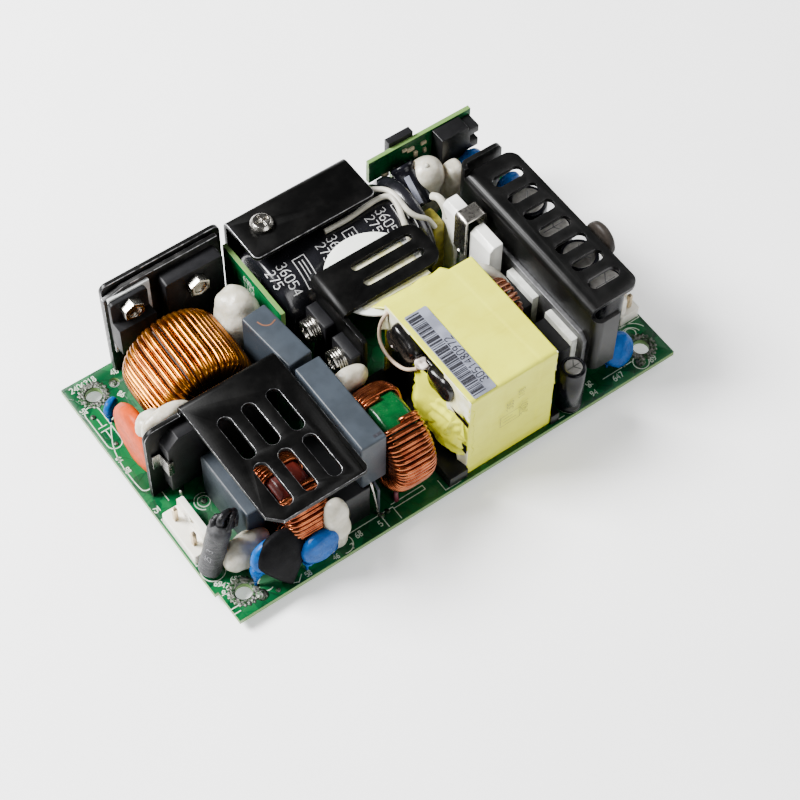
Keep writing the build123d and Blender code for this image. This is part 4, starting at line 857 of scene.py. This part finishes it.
# %% The taped coil, the core's corners and the folded tape at each end
def end_bulge(side, seed):
    """The taped coil at one end. Along y (u from -1 to 1) and up (v from 0 to 1) its distance out is
    (1 - |u|^2.4)^0.6 times a rounded belly of v, less creases: the absolute value of a ripple."""
    u, v = np.meshgrid(np.linspace(-1, 1, 70), np.linspace(0, 1, 44))
    y = -25.9 + 10.7 * u
    z = TOP + 7.2 + 16.6 * v - 2.4 * u * v
    belly = np.clip(1 - np.abs(v - 0.22) ** 1.6 * 1.55, -0.4, 1)
    out = 4.4 * (1 - np.abs(u) ** 2.4) ** 0.6 * belly - 0.6
    p = np.stack([0 * u, y, z], -1).reshape(-1, 3)
    slanted = p * (1, 0.7, 1.7) + (0, 0.6, 0) * p[:, 2:]
    crease = 1.1 * np.abs(ripple(slanted, 9, seed)) + 0.4 * np.abs(ripple(p, 3.4, seed + 1))
    out = out.reshape(-1) - crease
    p[:, 0] = T0[0] + 0.3 - out if side < 0 else T1[0] - 0.3 + out
    return p, grid_faces(*u.shape)


def flap(corners, swell, seed, steps=22):
    """A patch between four corners, their heights given above the board. It is blended along both
    sides, lifted in the middle by swell along its own normal, and creased by a ripple."""
    c = np.array(corners, float) + (0, 0, TOP)
    u, v = np.meshgrid(np.linspace(0, 1, steps), np.linspace(0, 1, steps))
    u, v = u.reshape(-1, 1), v.reshape(-1, 1)
    p = (c[0] * (1 - u) + c[1] * u) * (1 - v) + (c[3] * (1 - u) + c[2] * u) * v
    normal = unit(np.cross(c[1] - c[0] + c[2] - c[3], c[3] - c[0] + c[2] - c[1]))
    edge = np.clip(4 * u * (1 - u), 0, 1) * np.clip(1.6 * v, 0, 1)
    crease = 0.35 * ripple(p, 5, seed) - 0.35 * swell * np.abs(ripple(p, 4, seed + 2))
    return p + normal * (swell * edge + crease[:, None] * v), grid_faces(steps, steps)


def mirrored(shape):
    """The same shape at the transformer's other end: x measured from the other side."""
    points, faces = shape
    return np.asarray(points) * (-1, 1, 1) + (T0[0] + T1[0], 0, 0), faces[:, ::-1]


def both_ends(shapes):
    """The shapes and their mirror images, as one."""
    return joined(shapes + [mirrored(shape) for shape in shapes])


coil = joined([end_bulge(-1, 11), end_bulge(1, 21)])
walled(piece("transformer_coil_wrap", *coil, yellow_tape, "yellow_tape", ("transformer_winding",)), 0.15)
print("the coil's tape at both ends has", len(coil[1]), "faces")

# %% Folds and torn corners of the tape
flaps = [
    flap([(1.5, -3.7, 30.2), (1.5, -14.0, 30.2), (0.9, -9.6, 26.6), (0.4, -3.9, 21.4)], 0.5, 3),
    flap([(1.5, -26.5, 30.2), (1.5, -36.7, 30.2), (1.4, -36.7, 22.4), (-0.3, -30.6, 21.8)], 0.7, 4),
    flap([(1.5, -36.7, 10.2), (1.5, -36.7, 3.6), (0.9, -34.0, 3.8), (0.6, -32.6, 8.6)], 0.2, 6),
]
folds = [
    flap([(0.4, -17.0, 25.0), (1.1, -34.6, 22.8), (0.6, -36.2, 15.6), (-3.3, -24.0, 12.0)], 1.5, 15),
    flap([(0.6, -32.0, 22.2), (1.4, -36.6, 20.4), (1.4, -36.6, 13.6), (-1.2, -31.0, 12.6)], 0.5, 18),
]
walled(piece("transformer_folds", *both_ends(folds), yellow_tape, "yellow_tape"), 0.1)
walled(piece("transformer_flaps", *both_ends(flaps), cream_tape, "yellow_tape"), 0.12)
print(len(folds), "folds and", len(flaps), "flaps at each end")

# %% What the tape leaves bare
rear_lobe, front_lobe = (1.5, -12.8, TOP + 25.8), (1.9, -26.2, TOP + 25.6)
lobes = [
    turned(lump(rear_lobe, (2.3, 5.0, 3.7), 4, 0.25, 5, 1), 12, (1, 0, 0), rear_lobe),
    turned(lump(front_lobe, (2.3, 4.6, 3.3), 3.4, 0.25, 5, 2), -10, (1, 0, 0), front_lobe),
    lump((0.5, -9.4, TOP + 23.4), (1.2, 2.7, 2.6), 3, 0.2, 3, 4),
    lump((3.4, -20.0, TOP + 15.0), (1.6, 14.6, 11.0), 8, 0.1, 3, 3, 30, 60),
]
wedges = [[(0.5, -30.6, 23.4), (1.42, -36.6, 22.0), (1.42, -36.6, 20.2), (0.7, -33.4, 22.0)],
          [(0.3, -31.6, 13.0), (1.42, -36.7, 12.6), (1.42, -36.7, 9.4), (0.4, -33.4, 11.4)]]
sunk = [moved(flap(wedge, 0.0, 40), (-0.25, 0, 0)) for wedge in wedges]
piece("transformer_core_ends", *joined(lobes + sunk + [mirrored(lobes[3])]), ferrite, "ferrite",
      ("transformer_core",))
paste = [lump((0.9, -19.2, TOP + 25.2), (1.3, 1.9, 1.3), 2.4, 0.5, 2.0, 8),
         lump((0.3, -9.4, TOP + 22.6), (1.0, 1.2, 0.9), 2.4, 0.3, 2.0, 9)]
pale = moulded("pale_insulation", (0.72, 0.62, 0.58), 0.5)
piece("transformer_paste", *joined(paste), pale, "white_silicone")
rim = [(1.3, -5.2, TOP + 29.2), (-0.5, -4.9, TOP + 26.6), (-1.3, -5.3, TOP + 22.0), (-1.8, -7.9, TOP + 19.6),
       (-2.0, -12.1, TOP + 20.0), (-1.8, -16.6, TOP + 22.0), (-0.4, -19.0, TOP + 24.4)]
points, faces = tube(eased(rim, 3), 0.45, (-1, 0, 0.2), 10)
pink_cord = moulded("pink_cord", (0.44, 0.33, 0.24), 0.42)
piece("transformer_rim", points, faces, pink_cord, "yellow_tape")
polished("transformer_bobbin", black_case, 0.15)
print("the transformer's ends")

# %% [markdown]
# ### The label
# A strip of lilac-grey paper with plain bars of uneven width and a row of numerals.

# %% Label and bars
polished("transformer_label", label_paper, 0.04)
bars = np.random.default_rng(12)
BAR_WIDTHS, BARS_LENGTH = [0.14, 0.2, 0.3, 0.42], 26.0
edges = np.cumsum(bars.choice(BAR_WIDTHS, 200))
edges = edges[edges < BARS_LENGTH]
middles, widths = (edges[0:-1:2] + edges[1::2]) / 2, np.diff(edges)[0::2]
black_ink = Finish("black_ink", (0.012, 0.012, 0.016), 0.45)
black_ink.clouded(0.3, 0.5, 0.8, (0.01, 0.01, 0.014), (0.07, 0.07, 0.09))
parts = [ribbons([[(3.0, -35.8 + y), (6.5, -35.8 + y)]], w * 1.35) for y, w in zip(middles, widths)]
parts += [ribbons(numerals("3051480972", 8.7, -33.6, 1.9, 90, 1.55), 0.28)]
on_label = level(TOP + 30.4 + 0.14)
points, faces = joined([(on_label(flat[:, 0], flat[:, 1]), f) for flat, f in parts])
piece("label_print", points, faces, black_ink, "label_paper", smooth=False)
print(len(middles), "bars on the label")

# %% Stamped print on the wrap's front
stamp = [box_line(10.6, 16.2, 12.2, 16.2), [(11.4, 13.6), (15.2, 13.6)], [(11.4, 14.9), (14.0, 14.9)]]
for row in (("24071", 18.4, 12.4, 1.8, 90), ("305", 14.0, 17.6, 1.8, 90), ("118", 17.2, 20.2, 1.8, 90)):
    stamp += numerals(*row)
stamp_ink = Finish("stamp_ink", (0.30, 0.27, 0.08), 0.5)
stamp_ink.clouded(0.5, 0.4, 0.7, (0.15, 0.13, 0.03), (0.42, 0.39, 0.06))
printed("stamp_print", stamp, 0.16, lambda u, v: np.stack([u, -36.83 + 0 * u, v + TOP], 1), stamp_ink,
        "yellow_tape")
print(len(stamp), "stamped strokes")

# %% [markdown]
# ## Set silicone
# White beads glue the tall parts to each other. They were squeezed from a nozzle and slumped before
# they set, so each is a lump of its own, with a low ripple and a gloss.

# %% Beads
corner_bead = (-52.6, -25.9, TOP + 4.6)
beads = [
    turned(lump(corner_bead, (6.4, 3.2, 4.9), 2.3, 0.35, 4.5, 1), 6, (0, 0, 1), corner_bead),
    lump((-33.6, -33.9, TOP + 8.4), (3.5, 2.7, 9.4), 2.5, 0.35, 6, 2),
    lump((-36.4, -35.2, TOP + 5.4), (2.6, 1.7, 5.2), 2.5, 0.3, 4, 12),
    lump((-23.4, 20.6, TOP + 14.6), (5.2, 6.0, 12.2), 2.6, 0.6, 6, 3),
    lump((-13.4, -10.2, TOP + 20.0), (5.2, 2.4, 3.6), 2.3, 0.35, 4, 4),
    lump((36.6, 28.2, TOP + 19.6), (4.8, 4.4, 5.2), 2.2, 0.25, 6, 5),
    lump((38.6, 29.6, TOP + 10.6), (3.6, 3.3, 9.0), 2.8, 0.5, 5, 15),
    lump((43.6, 26.2, TOP + 12.0), (3.3, 3.6, 9.6), 2.6, 0.4, 5, 6),
    lump((36.2, 27.2, TOP + 24.4), (0.7, 0.7, 1.0), 2.0, 0.1, 2, 16, 12, 18),
    lump((-53.4, 3.7, TOP + 21.4), (6.6, 2.3, 4.6), 2.3, 0.4, 5, 7),
    lump((-56.4, 5.8, TOP + 20.6), (3.6, 3.0, 2.9), 2.3, 0.4, 4, 8),
]
piece("set_silicone", *joined(beads), silicone, "white_silicone", ("silicone_beads",))
print(len(beads), "beads")

# %% [markdown]
# ## Dipped parts
# Disc capacitors and varistors are dipped in epoxy. The disc is a flat ball, and the coat runs a
# little way down each leg, so a leg is a tube that starts thick and thins out to bare wire.

# %% Discs on two legs
LEG = 0.36  # the radius of a bare leg


def dipped_disc(x, y, z, r, t, lean, turn, pitch, seed, run=0.45, fat=1.15):
    """A disc of radius r and thickness t that stands on two legs, leaning back and turned about Z. Each
    leg's radius falls from fat to LEG by the smooth step of its share of the way down over run."""
    lying = lump((0, 0, 0), (r, r, t / 2), 2.0, 0.10, 3.5, seed, 24, 44, upright=2.9)
    parts, low = [turned(lying, 90 - lean, (1, 0, 0))], -z + 0.1
    for side in (-1, 1):
        out = side * pitch / 2
        start = -math.sqrt(max(r * r - out * out, 0.3)) * 0.86
        path = np.linspace((out * 0.86, 0, start), (out, 0, low), 26)
        share = np.clip(np.linspace(0, 1, 26) / run, 0, 1)
        radius = fat + (LEG - fat) * share ** 2 * (3 - 2 * share)
        p, f = tube(path, np.minimum(radius, t * 0.46 + 0.2), (0, 1, 0), 12)
        parts.append((p + 0.06 * ripple(p, 1.6, seed + 5)[:, None], f))
    return turned(moved(joined(parts), (x, y, TOP + z)), turn, (0, 0, 1), (x, y, 0))


blue_coat = dipped("blue_coat", (0.0, 0.064, 0.26), 0.26, 0.01, 0.10)
orange_coat = dipped("orange_coat", (0.42, 0.044, 0.0), 0.42, 0.01, 0.10)
brown_coat = dipped("brown_coat", (0.020, 0.016, 0.013), 0.5, 0.02, 0.2)
blues = [
    dipped_disc(-50.4, -32.6, 9.4, 4.9, 3.0, 14, 0, 8.4, 1, 0.9, 1.7),
    dipped_disc(-39.3, -36.0, 7.2, 4.9, 3.6, 4, 0, 7.4, 2, 0.75, 1.6),
    dipped_disc(50.4, 28.4, 15.4, 3.8, 2.8, 0, 0, 5.0, 3, 0.2),
    dipped_disc(50.4, -31.8, 4.6, 4.4, 3.6, 34, 6, 6.4, 4, 0.6, 1.3),
    dipped_disc(52.2, 15.2, 18.6, 3.6, 2.6, 0, 0, 4.0, 9, 0.2),
    dipped_disc(-57.4, 24.4, 4.6, 2.5, 2.2, 0, 30, 2.4, 5),
]
piece("blue_discs", *joined(blues), blue_coat, "blue_coat", ("safety_capacitors",))
orange = dipped_disc(-57.9, 10.4, 9.3, 9.2, 5.2, 0, 90, 7.5, 6)
piece("orange_disc", *orange, orange_coat, "orange_coat", ("orange_varistor",))
brown = dipped_disc(56.4, -14.8, 25.6, 4.6, 3.0, 0, 90, 5.0, 7, 0.1)
piece("brown_disc", *brown, brown_coat, "brown_coat", ("disc_thermistor",))
print(len(blues) + 2, "dipped discs")

# %% The disc in a sleeve
def sleeved_disc(x, y, z, r, t):
    """A disc in shrunk sleeve: below its middle it is stretched down to the board and drawn to a blunt
    point. With s the share of the way down, x is times 1 - 0.66 s^1.3 and y is times 1 - 0.5 s^2."""
    lying = lump((0, 0, 0), (r, r, t / 2), 2.0, 0.12, 4, 8, 36, 48, upright=2.6)
    points, faces = turned(lying, 90, (1, 0, 0))
    down = np.clip(-points[:, 2] / r, 0, 1)
    points[:, 0] *= 1 - 0.66 * down ** 1.3
    points[:, 1] *= 1 - 0.5 * down ** 2
    points[:, 2] -= down ** 1.2 * (z - r - 0.2)
    return points + (x, y, TOP + z), faces


grey_coat = Finish("grey_coat", (0.02, 0.02, 0.021), 0.5, specular_ior_level=0.04)
grey_coat.set("Base Color", mottled(grey_coat, (0.004, 0.004, 0.0045), 3, 0.3))
grey_coat.relief(grey_coat.noise(0.4, 3), 0.05)
sleeve = turned(sleeved_disc(-47.8, -37.1, 9.9, 6.4, 3.6), -20, (1, 0, 0), (-47.8, -37.1, TOP))
piece("sleeved_disc", *sleeve, grey_coat, "grey_coat", ("grey_varistor",))
print("the sleeved disc")

# %% [markdown]
# ### The sleeved fuse
# The fuse is a grey sleeve that leans. Its top lead is folded over in black sleeve, shrunk and creased.

# %% Fuse
FUSE_LEAN, FUSE_R = math.radians(14), 2.85
fuse_axis = np.array([math.sin(FUSE_LEAN), 0, math.cos(FUSE_LEAN)])
fuse_side = np.array([math.cos(FUSE_LEAN), 0, -math.sin(FUSE_LEAN)])
foot = np.array([-61.0, -23.4, TOP + 0.7])
along = np.array([0, 0.05, 0.6, 4, 8, 12, 14.5, 15.6, 16.3, 16.5])
girth = np.array([2.2, 2.6, 2.8, 2.85, 2.8, 2.85, 2.75, 2.35, 1.3, 0.4])
steps = np.linspace(0, 16.5, 60)
points, faces = tube(foot + fuse_axis * steps[:, None], np.interp(steps, along, girth), (0, 1, 0), 40)
points += 0.22 * ripple(points, 5, 3)[:, None] * (0, 1, 0) + 0.05 * ripple(points, 1.1, 4)[:, None]
grey_tube = moulded("grey_tube", (0.026, 0.026, 0.028), 0.46, 0.08, 1.2, 0.35, specular_ior_level=0.3)
piece("fuse_sleeve", points, faces, grey_tube, "grey_tube", ("fuse",))
tip = foot + fuse_axis * 15.6
knots = [
    [(0, 0, 0), (0.4, 0.2, 2.4), (2.2, 0.9, 2.9), (4.6, 1.3, 1.4), (4.9, 1.4, -1.6), (4.0, 1.0, -4.4)],
    [(-1.2, 0.6, -0.8), (-0.8, 1.6, 1.2), (1.2, 1.9, 1.6), (3.0, 0.2, 0.6), (2.0, -1.4, -0.4)],
    [(0.2, -1.5, -1.4), (1.8, -1.3, 0.8), (3.6, 0.2, 1.9), (4.8, 1.6, -0.2)],
]
shrunk = []
for i, knot in enumerate(knots):
    path = eased(tip + np.array(knot), 3)
    p, f = tube(path, 0.85 + 0.15 * np.sin(np.linspace(0, 9 + i, len(path))), (0.2, 1, 0.1), 14)
    shrunk.append((p + 0.16 * ripple(p, 1.5, 20 + i)[:, None], f))
black_shrink = moulded("black_shrink", (0.006, 0.006, 0.007), 0.3, 0.06, 1.0, 0.5, specular_ior_level=0.25)
piece("fuse_lead", *joined(shrunk), black_shrink, "grey_tube")


def on_fuse(u, v):
    """A point of the fuse's side: u along its girth from the side facing the camera, v up its axis."""
    a = np.radians(-120) + u / 2.8
    round_it = np.outer(np.cos(a), fuse_side) + np.outer(np.sin(a), (0, 1, 0))
    return foot + np.outer(v, fuse_axis) + (FUSE_R + 0.12) * round_it


faint_ink = moulded("faint_ink", (0.16, 0.16, 0.17), 0.6)
marks = numerals("25", -0.9, 6.0, 1.4, 90) + numerals("3", -0.9, 9.4, 1.4, 90)
printed("fuse_print", marks, 0.16, on_fuse, faint_ink, "grey_tube")
print("the fuse")

# %% [markdown]
# ## Round capacitors
# The big can lies on its side, and its print goes round it: rows of plain numerals with a box beside
# them, three times along it. The upright cans show a bright top with the three lines of the vent,
# inside the rolled edge of the sleeve. The vent lines are flat dark strips: painted shade of the vent's
# grooves.

# %% The big can
capacitor_sleeve = moulded("capacitor_sleeve", (0.006, 0.006, 0.008), 0.24, 0.01, 5, 0.3, coat_weight=0.25)
CAN_X, CAN_Y, CAN_Z, CAN_R = -13.8, 23.7, TOP + 12.8, 12.5


def swept(profile, centre, direction, start, sides=96):
    """A surface of revolution: each (distance, radius) of the profile is a ring about an axis, whose
    points at angle a lie cos a along one direction across the axis and sin a along the other."""
    d = np.array(direction, float)
    u = unit(np.cross(d, start))
    v = np.cross(u, d)
    a = np.linspace(0, 2 * np.pi, sides, endpoint=False)
    ring = np.outer(np.cos(a), u) + np.outer(np.sin(a), v)
    rings = [np.array(centre) + d * s + r * ring for s, r in profile]
    return np.concatenate(rings), grid_faces(len(profile), sides, False, True)


profile = [(0, 0.001), (0, 11.0), (0.1, 11.6), (0.45, 12.2), (1.0, CAN_R)]
profile += [(x, CAN_R) for x in np.linspace(2, 36, 12)]
profile += [(37.2, 12.45), (37.8, 12.0), (38.4, 11.65), (39.0, 12.0), (39.6, 12.45), (41.2, CAN_R),
            (41.8, 12.2), (42, 11.8), (42, 10.2), (41.2, 10.0), (41.2, 0.001)]
points, faces = swept(profile, (CAN_X, CAN_Y, CAN_Z), (1, 0, 0), (0, 1, 0))
piece("big_can", points, faces, capacitor_sleeve, "capacitor_sleeve", ("bulk_capacitor",))
print("the big can is", profile[-3][0], "mm long")

# %% Print round the can
def on_can(u, v):
    """A point of the can's side: u along its girth towards the front, from the top, and v along it."""
    r = CAN_R + 0.03
    return np.stack([v, CAN_Y - r * np.sin(u / CAN_R), CAN_Z + r * np.cos(u / CAN_R)], 1)


rows = []
for i in range(3):
    x = -10.9 + 14.2 * i
    rows += numerals("36054", 0.9, x, 2.5, 0, 1.45) + numerals("275", 1.3, x - 3.2, 2.3, 0, 1.5)
    rows += [box_line(1.6, 9.6, x + 4.2, x + 7.4)]
    rows += [[(2.6, x + 5.4), (8.4, x + 5.4)], [(2.6, x + 6.3), (6.6, x + 6.3)]]
fine = []
for line in rows:
    p = np.array(line, float)
    counts = np.maximum(1, np.ceil(np.linalg.norm(np.diff(p, axis=0), axis=1) / 0.7).astype(int))
    runs = [np.linspace(a, b, k + 1)[1:] for a, b, k in zip(p[:-1], p[1:], counts)]
    fine.append(np.concatenate([p[:1]] + runs))
white_ink = moulded("white_ink", (0.50, 0.50, 0.50), 0.5, 0.0, 1.0, 0.25)
printed("can_print", fine, 0.23, on_can, white_ink, "capacitor_sleeve")
print("the big can carries", len(rows), "printed strokes")

# %% Upright cans
def upright_can(x, y, r, h):
    """Sleeve and bright top of a round capacitor, as two surfaces of revolution."""
    side = [(0, 0.001), (0, r - 0.2), (0.2, r), (1.4, r), (2.0, r - 0.4), (2.6, r), (h - 0.6, r),
            (h - 0.15, r - 0.2), (h, r - 0.55), (h - 0.12, r - 0.9), (h - 0.2, 0.001)]
    top = [(h - 0.6, r - 0.95), (h - 0.05, r - 1.0), (h - 0.02, r - 1.3), (h - 0.1, 0.001)]
    # The vent's three lines are flat strips, later painted dark: painted shade of the grooves.
    vent = [[(x - 0.6 * r, y), (x + 0.6 * r, y)]]
    vent += [[(x, y), (x + 0.35 * r, y + sign * 0.5 * r)] for sign in (1, -1)]
    flat, faces = ribbons(vent, 0.3)
    lines = level(TOP + h - 0.02)(flat[:, 0], flat[:, 1]), faces
    upright = (x, y, TOP), (0, 0, 1), (0, 1, 0), 48
    return swept(side, *upright), swept(top, *upright), lines


cans = [upright_can(51.4, y, 4.9, 21.6) for y in (6.6, -3.4, -13.4, -23.4)]
slim = upright_can(33.4, -34.8, 3.15, 15.4)
bright_top = plated("bright_top", (0.33, 0.32, 0.30), 0.36, 0.05)
# Dark grey for the vent lines: painted shade in the vent's grooves.
vent_shade = moulded("vent_groove_painted_shade", (0.10, 0.10, 0.10), 0.5)
piece("output_cans", *joined([c[0] for c in cans]), dark_sleeve, "dark_sleeve", ("output_capacitors",))
piece("slim_can", *slim[0], dark_sleeve, "dark_sleeve", ("small_capacitor",))
piece("can_tops", *joined([c[1] for c in cans + [slim]]), bright_top, "dark_sleeve")
piece("can_vents", *joined([c[2] for c in cans + [slim]]), vent_shade, "dark_sleeve", smooth=False)
print(len(cans) + 1, "upright cans")

# %% [markdown]
# ## The upright board's corner
# The small round capacitor there hangs forward and down, with a pale stripe along its sleeve.
# Two pale wires loop over the big can beside it.

# %% Tilted capacitor
DROOP, TILTED_R = math.radians(36), 3.2
ahead = np.array([0, -math.cos(DROOP), -math.sin(DROOP)])
start = np.array([32.0, 35.2 - 1.2 - TILTED_R * math.sin(DROOP) - 0.1, TOP + 23.0])
side = [(0, 0.001), (0, 3.0), (0.2, 3.2), (1.2, 3.2), (1.8, 2.8), (2.4, 3.2), (10.5, 3.2), (10.9, 3.0),
        (11.0, 2.4), (10.8, 2.2), (10.8, 0.001)]
points, faces = swept(side, start, ahead, (1, 0, 0), 56)
piece("tilted_can", points, faces, dark_sleeve, "dark_sleeve", ("standby_capacitor",))


def on_tilted(u, v):
    """A point of the tilted can's side: u across from its upper side, v along it."""
    a = u / TILTED_R
    upper = np.cross(np.array([1.0, 0, 0]), -ahead)
    upper = -upper if upper[2] < 0 else upper
    round_it = np.outer(np.cos(a), upper) + np.outer(np.sin(a), (1, 0, 0))
    return start + np.outer(v, ahead) + (TILTED_R + 0.04) * round_it


stripe = moulded("pale_stripe", (0.20, 0.21, 0.26), 0.4)
bands = [[(u, 2.8), (u, 10.2)] for u in np.arange(-1.9, -0.6, 0.28)]
printed("can_stripe", bands, 0.3, on_tilted, stripe, "dark_sleeve")
print("the tilted can has a stripe of", len(bands), "bands")

# %% Wires, coil and chips
routes = [  # radius, then the places that the wire goes through
    (0.7, [(18.4, 30.6, 26.4), (21.4, 27.9, 27.3), (23.4, 26.0, 27.7), (24.0, 23.2, 27.8), (23.9, 20.8, 27.5),
           (24.2, 18.4, 26.6), (25.6, 16.6, 25.2), (28.2, 15.8, 23.6), (29.8, 15.0, 20.0)]),
    (0.7, [(4.0, 24.2, 27.7), (10.9, 24.0, 27.8), (15.7, 24.6, 27.8), (20.4, 25.0, 27.8), (22.9, 24.0, 27.8),
           (22.9, 21.1, 27.6), (22.2, 18.2, 26.6), (21.6, 15.4, 24.4), (21.4, 13.4, 21.0)]),
    (1.0, [(32.6, 20.0, 24.6), (33.2, 18.0, 25.8), (33.4, 15.8, 24.0), (33.2, 14.6, 22.0)]),
    (1.15, [(28.2, -2.6, 24.6), (31.0, -4.4, 23.4), (33.6, -6.6, 20.0), (34.8, -9.2, 15.6),
            (34.9, -10.6, 9.0)]),
]
pale_wire = moulded("pale_wire", (0.52, 0.50, 0.42), 0.36, 0.01, 3, 0.15)
parts = [tube(eased(route, 3), r, (0.1, 0.2, 1), 12) for r, route in routes]
piece("pale_wires", *joined(parts), pale_wire, "white_boot")
# The small taped coil's yellow tape is painted dark olive: painted shade, for the shade it stands in under
# the plates.
shaded_tape = Finish("yellow_tape_painted_shade", (0.20, 0.18, 0.02), 0.35)
shaded_tape.set("Base Color", mottled(shaded_tape, (0.22, 0.19, 0.02), 2, 0.3))
piece("taped_coil", *lump((30.7, 17.3, TOP + 9.8), (1.9, 3.3, 9.7), 6, 0.12, 3, 3), shaded_tape, "yellow_tape")
chips = [  # x, height above the board, width, height of its own
    (28.6, 20.0, 2.0, 1.1), (29.4, 16.6, 1.2, 2.0), (36.0, 24.6, 2.2, 1.2), (37.6, 21.8, 1.2, 2.0),
    (40.0, 24.4, 1.6, 0.9), (40.4, 21.4, 0.9, 1.6), (34.2, 25.4, 1.4, 0.8),
]
parts = [lump((x, 33.85, TOP + z), (w / 2, 0.35, h / 2), 9, rows=10, columns=16) for x, z, w, h in chips]
beige_chip = moulded("beige_chip", (0.42, 0.36, 0.24), 0.45)
piece("small_chips", *joined(parts), beige_chip, "black_package")
print("the corner of the upright board")

# %% [markdown]
# ## Small metal and marks
# Spring washers under the screws of the middle plate, the copper ring beside the transformer, the
# legs that show between parts, and the print on the small board.

# %% The white disc and the tape under the middle plate
disc = [(0, 0.001), (0, 11.9), (0.1, 12), (0.6, 12), (0.7, 11.9), (0.7, 0.001)]
points, faces = swept(disc, (6, 6.4, TOP + 27.2), (0, 0, 1), (0, 1, 0))
piece("round_insulator", points, faces, white_film, "white_film", ("insulating_disc",))
sheet = flap([(1.6, -4.5, 29.6), (21.0, -4.5, 29.6), (19.0, -1.2, 28.1), (-0.6, -1.0, 27.9)], 0.1, 31)
under = flap([(-2.0, -1.0, 0), (16.5, -1.2, 0), (16.0, 10.4, 0), (-3.6, 10.8, 0)], 0.0, 32)
under = under[0] * (1, 1, 0) + (0, 0, TOP + 28.1), under[1]
walled(piece("plate_tape", *sheet, yellow_tape, "yellow_tape"), 0.1)
walled(piece("plate_tape_under", *under, cream_tape, "yellow_tape"), 0.1)


def box(x0, x1, y0, y1, z0, z1):
    """The eight corners and six faces of a box."""
    p = np.array([(x, y, z) for z in (z0, z1) for y in (y0, y1) for x in (x0, x1)], float)
    return p, np.array([(0, 2, 3, 1), (4, 5, 7, 6), (0, 1, 5, 4), (2, 6, 7, 3), (0, 4, 6, 2), (1, 3, 7, 5)])


corner = box(23.8, 31.0, 34.0, 35.2, TOP + 20.0, TOP + 25.7)
piece("standby_board_corner", *corner, rear_green, "board_green", smooth=False)
print("disc, tape and the small board's lower corner")

# %% Washers, ring and legs
def coil_spring(x, y, z, r, wire, turns, pitch):
    """A helix about X: at angle a it is at x - pitch a / 2 pi, y + r cos a, z + r sin a."""
    a = np.linspace(0, 2 * np.pi * turns, int(turns * 40))
    path = np.stack([x - pitch * a / (2 * np.pi), y + r * np.cos(a), z + r * np.sin(a)], 1)
    return tube(path, wire, np.stack([0 * a, np.cos(a), np.sin(a)], 1), 10)


springs = [coil_spring(-11.0, y, TOP + 19.0, 2.7, 0.3, 3.3, 0.66) for y in (7.0, -3.6)]
piece("spring_washers", *joined(springs), bright_screw, "bright_screw")
RING_TURNS, RING_WIRE = 22, 0.8
path, outward = wound_path(RING_TURNS, 0, 360, 5.8, 2.5, 4.2, RING_WIRE, 3.4, 0.4, 4, 30)
points, faces = tube(path, RING_WIRE / 2, outward, 8)
points = placed(points, (30.2, -12.0, TOP + 18.2), (0, 1, 0), (1, 0, 0))
pink_wire = enamelled_wire("pink_wire", (0.56, 0.25, 0.15), (0.34, 0.12, 0.06), 0.3)
piece("ring_turns", points, faces, pink_wire, "copper_wire", ("output_choke",))
legs = [
    (0.36, [(-22.4, -31.4, TOP + 13.2), (-22.4, -32.6, TOP + 12.0), (-21.5, -33.9, TOP)]),
    (0.4, [(26.3, -10.8, TOP + 10.6), (29.9, -14.0, TOP)]),
    (0.45, [(-56.4, -4.6, TOP + 5), (-56.2, -4.4, TOP)]),
    (0.4, [(29.9, -7.2, TOP + 11.6), (29.9, -7.2, TOP)]),
]
parts = [tube(eased(leg, 2), r, (0.3, 1, 0), 10) for r, leg in legs]
piece("bare_legs", *joined(parts), bright_screw, "tinned_pin")
maroon = moulded("maroon_sleeve", (0.10, 0.008, 0.02), 0.35)
lead = eased([(-15.9, -33.0, TOP), (-15.6, -32.4, TOP + 2.4), (-14.9, -31.0, TOP + 3.4)], 2)
piece("maroon_lead", *tube(lead, 0.62, (0, 1, 0), 12), maroon, "copper_wire")
print(len(springs), "spring washers, a ring of", RING_TURNS, "turns and", len(legs), "bare legs")

# %% Marks on the boxes and the control board
BOX_TOPS = TOP + 27.2, TOP + 28.9
brown_ink = moulded("brown_ink", (0.12, 0.045, 0.02), 0.5)
tick = eased([(-23.8, 11.0), (-23.3, 9.4), (-21.8, 8.5), (-20.0, 9.2)], 3)
printed("box_mark", [tick], 0.35, level(BOX_TOPS[0] + 0.03), brown_ink, "blue_grey_case")
smudge = [(-20.6, -30.5), (-18.5, -30.5)]
printed("box_smudge", [smudge], 0.8, level(BOX_TOPS[1] + 0.03), black_ink, "blue_grey_case")
rows = [[(-27.6, TOP + 14.2), (-16.4, TOP + 14.2)], [(-20.6, TOP + 15.4), (-16.6, TOP + 15.4)]]
for text, height in (("6304", 20.2), ("1158", 17.6), ("27", 15.0)):
    rows += numerals(text, -27.4, TOP + height, 1.8)
printed("control_print", rows, 0.24, lambda u, v: np.stack([-17.13 + 0 * u, -u, v], 1), ink, "board_green")
print(len(rows), "strokes on the control board")

# %% Floor
floor_finish = Finish("floor", (0.95, 0.95, 0.95), 0.7, specular_ior_level=0.1, emission_color=(1, 1, 1),
                      emission_strength=0.56)
floor_finish.set("Base Color", mottled(floor_finish, (0.94, 0.94, 0.94), 40, 0.01))
FLOOR_HALF = 3000.0
floor = bpy.data.objects.new("floor", bpy.data.meshes.new("floor"))
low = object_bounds()[0].z / MM
corners = [(x * FLOOR_HALF, y * FLOOR_HALF, low) for x, y in ((-1, -1), (1, -1), (1, 1), (-1, 1))]
floor.data.from_pydata((np.array(corners) * MM).tolist(), [], [[0, 1, 2, 3]])
floor.data.materials.append(floor_finish.material)
bpy.context.scene.collection.objects.link(floor)
print("the floor is at height", round(low, 2), "mm")
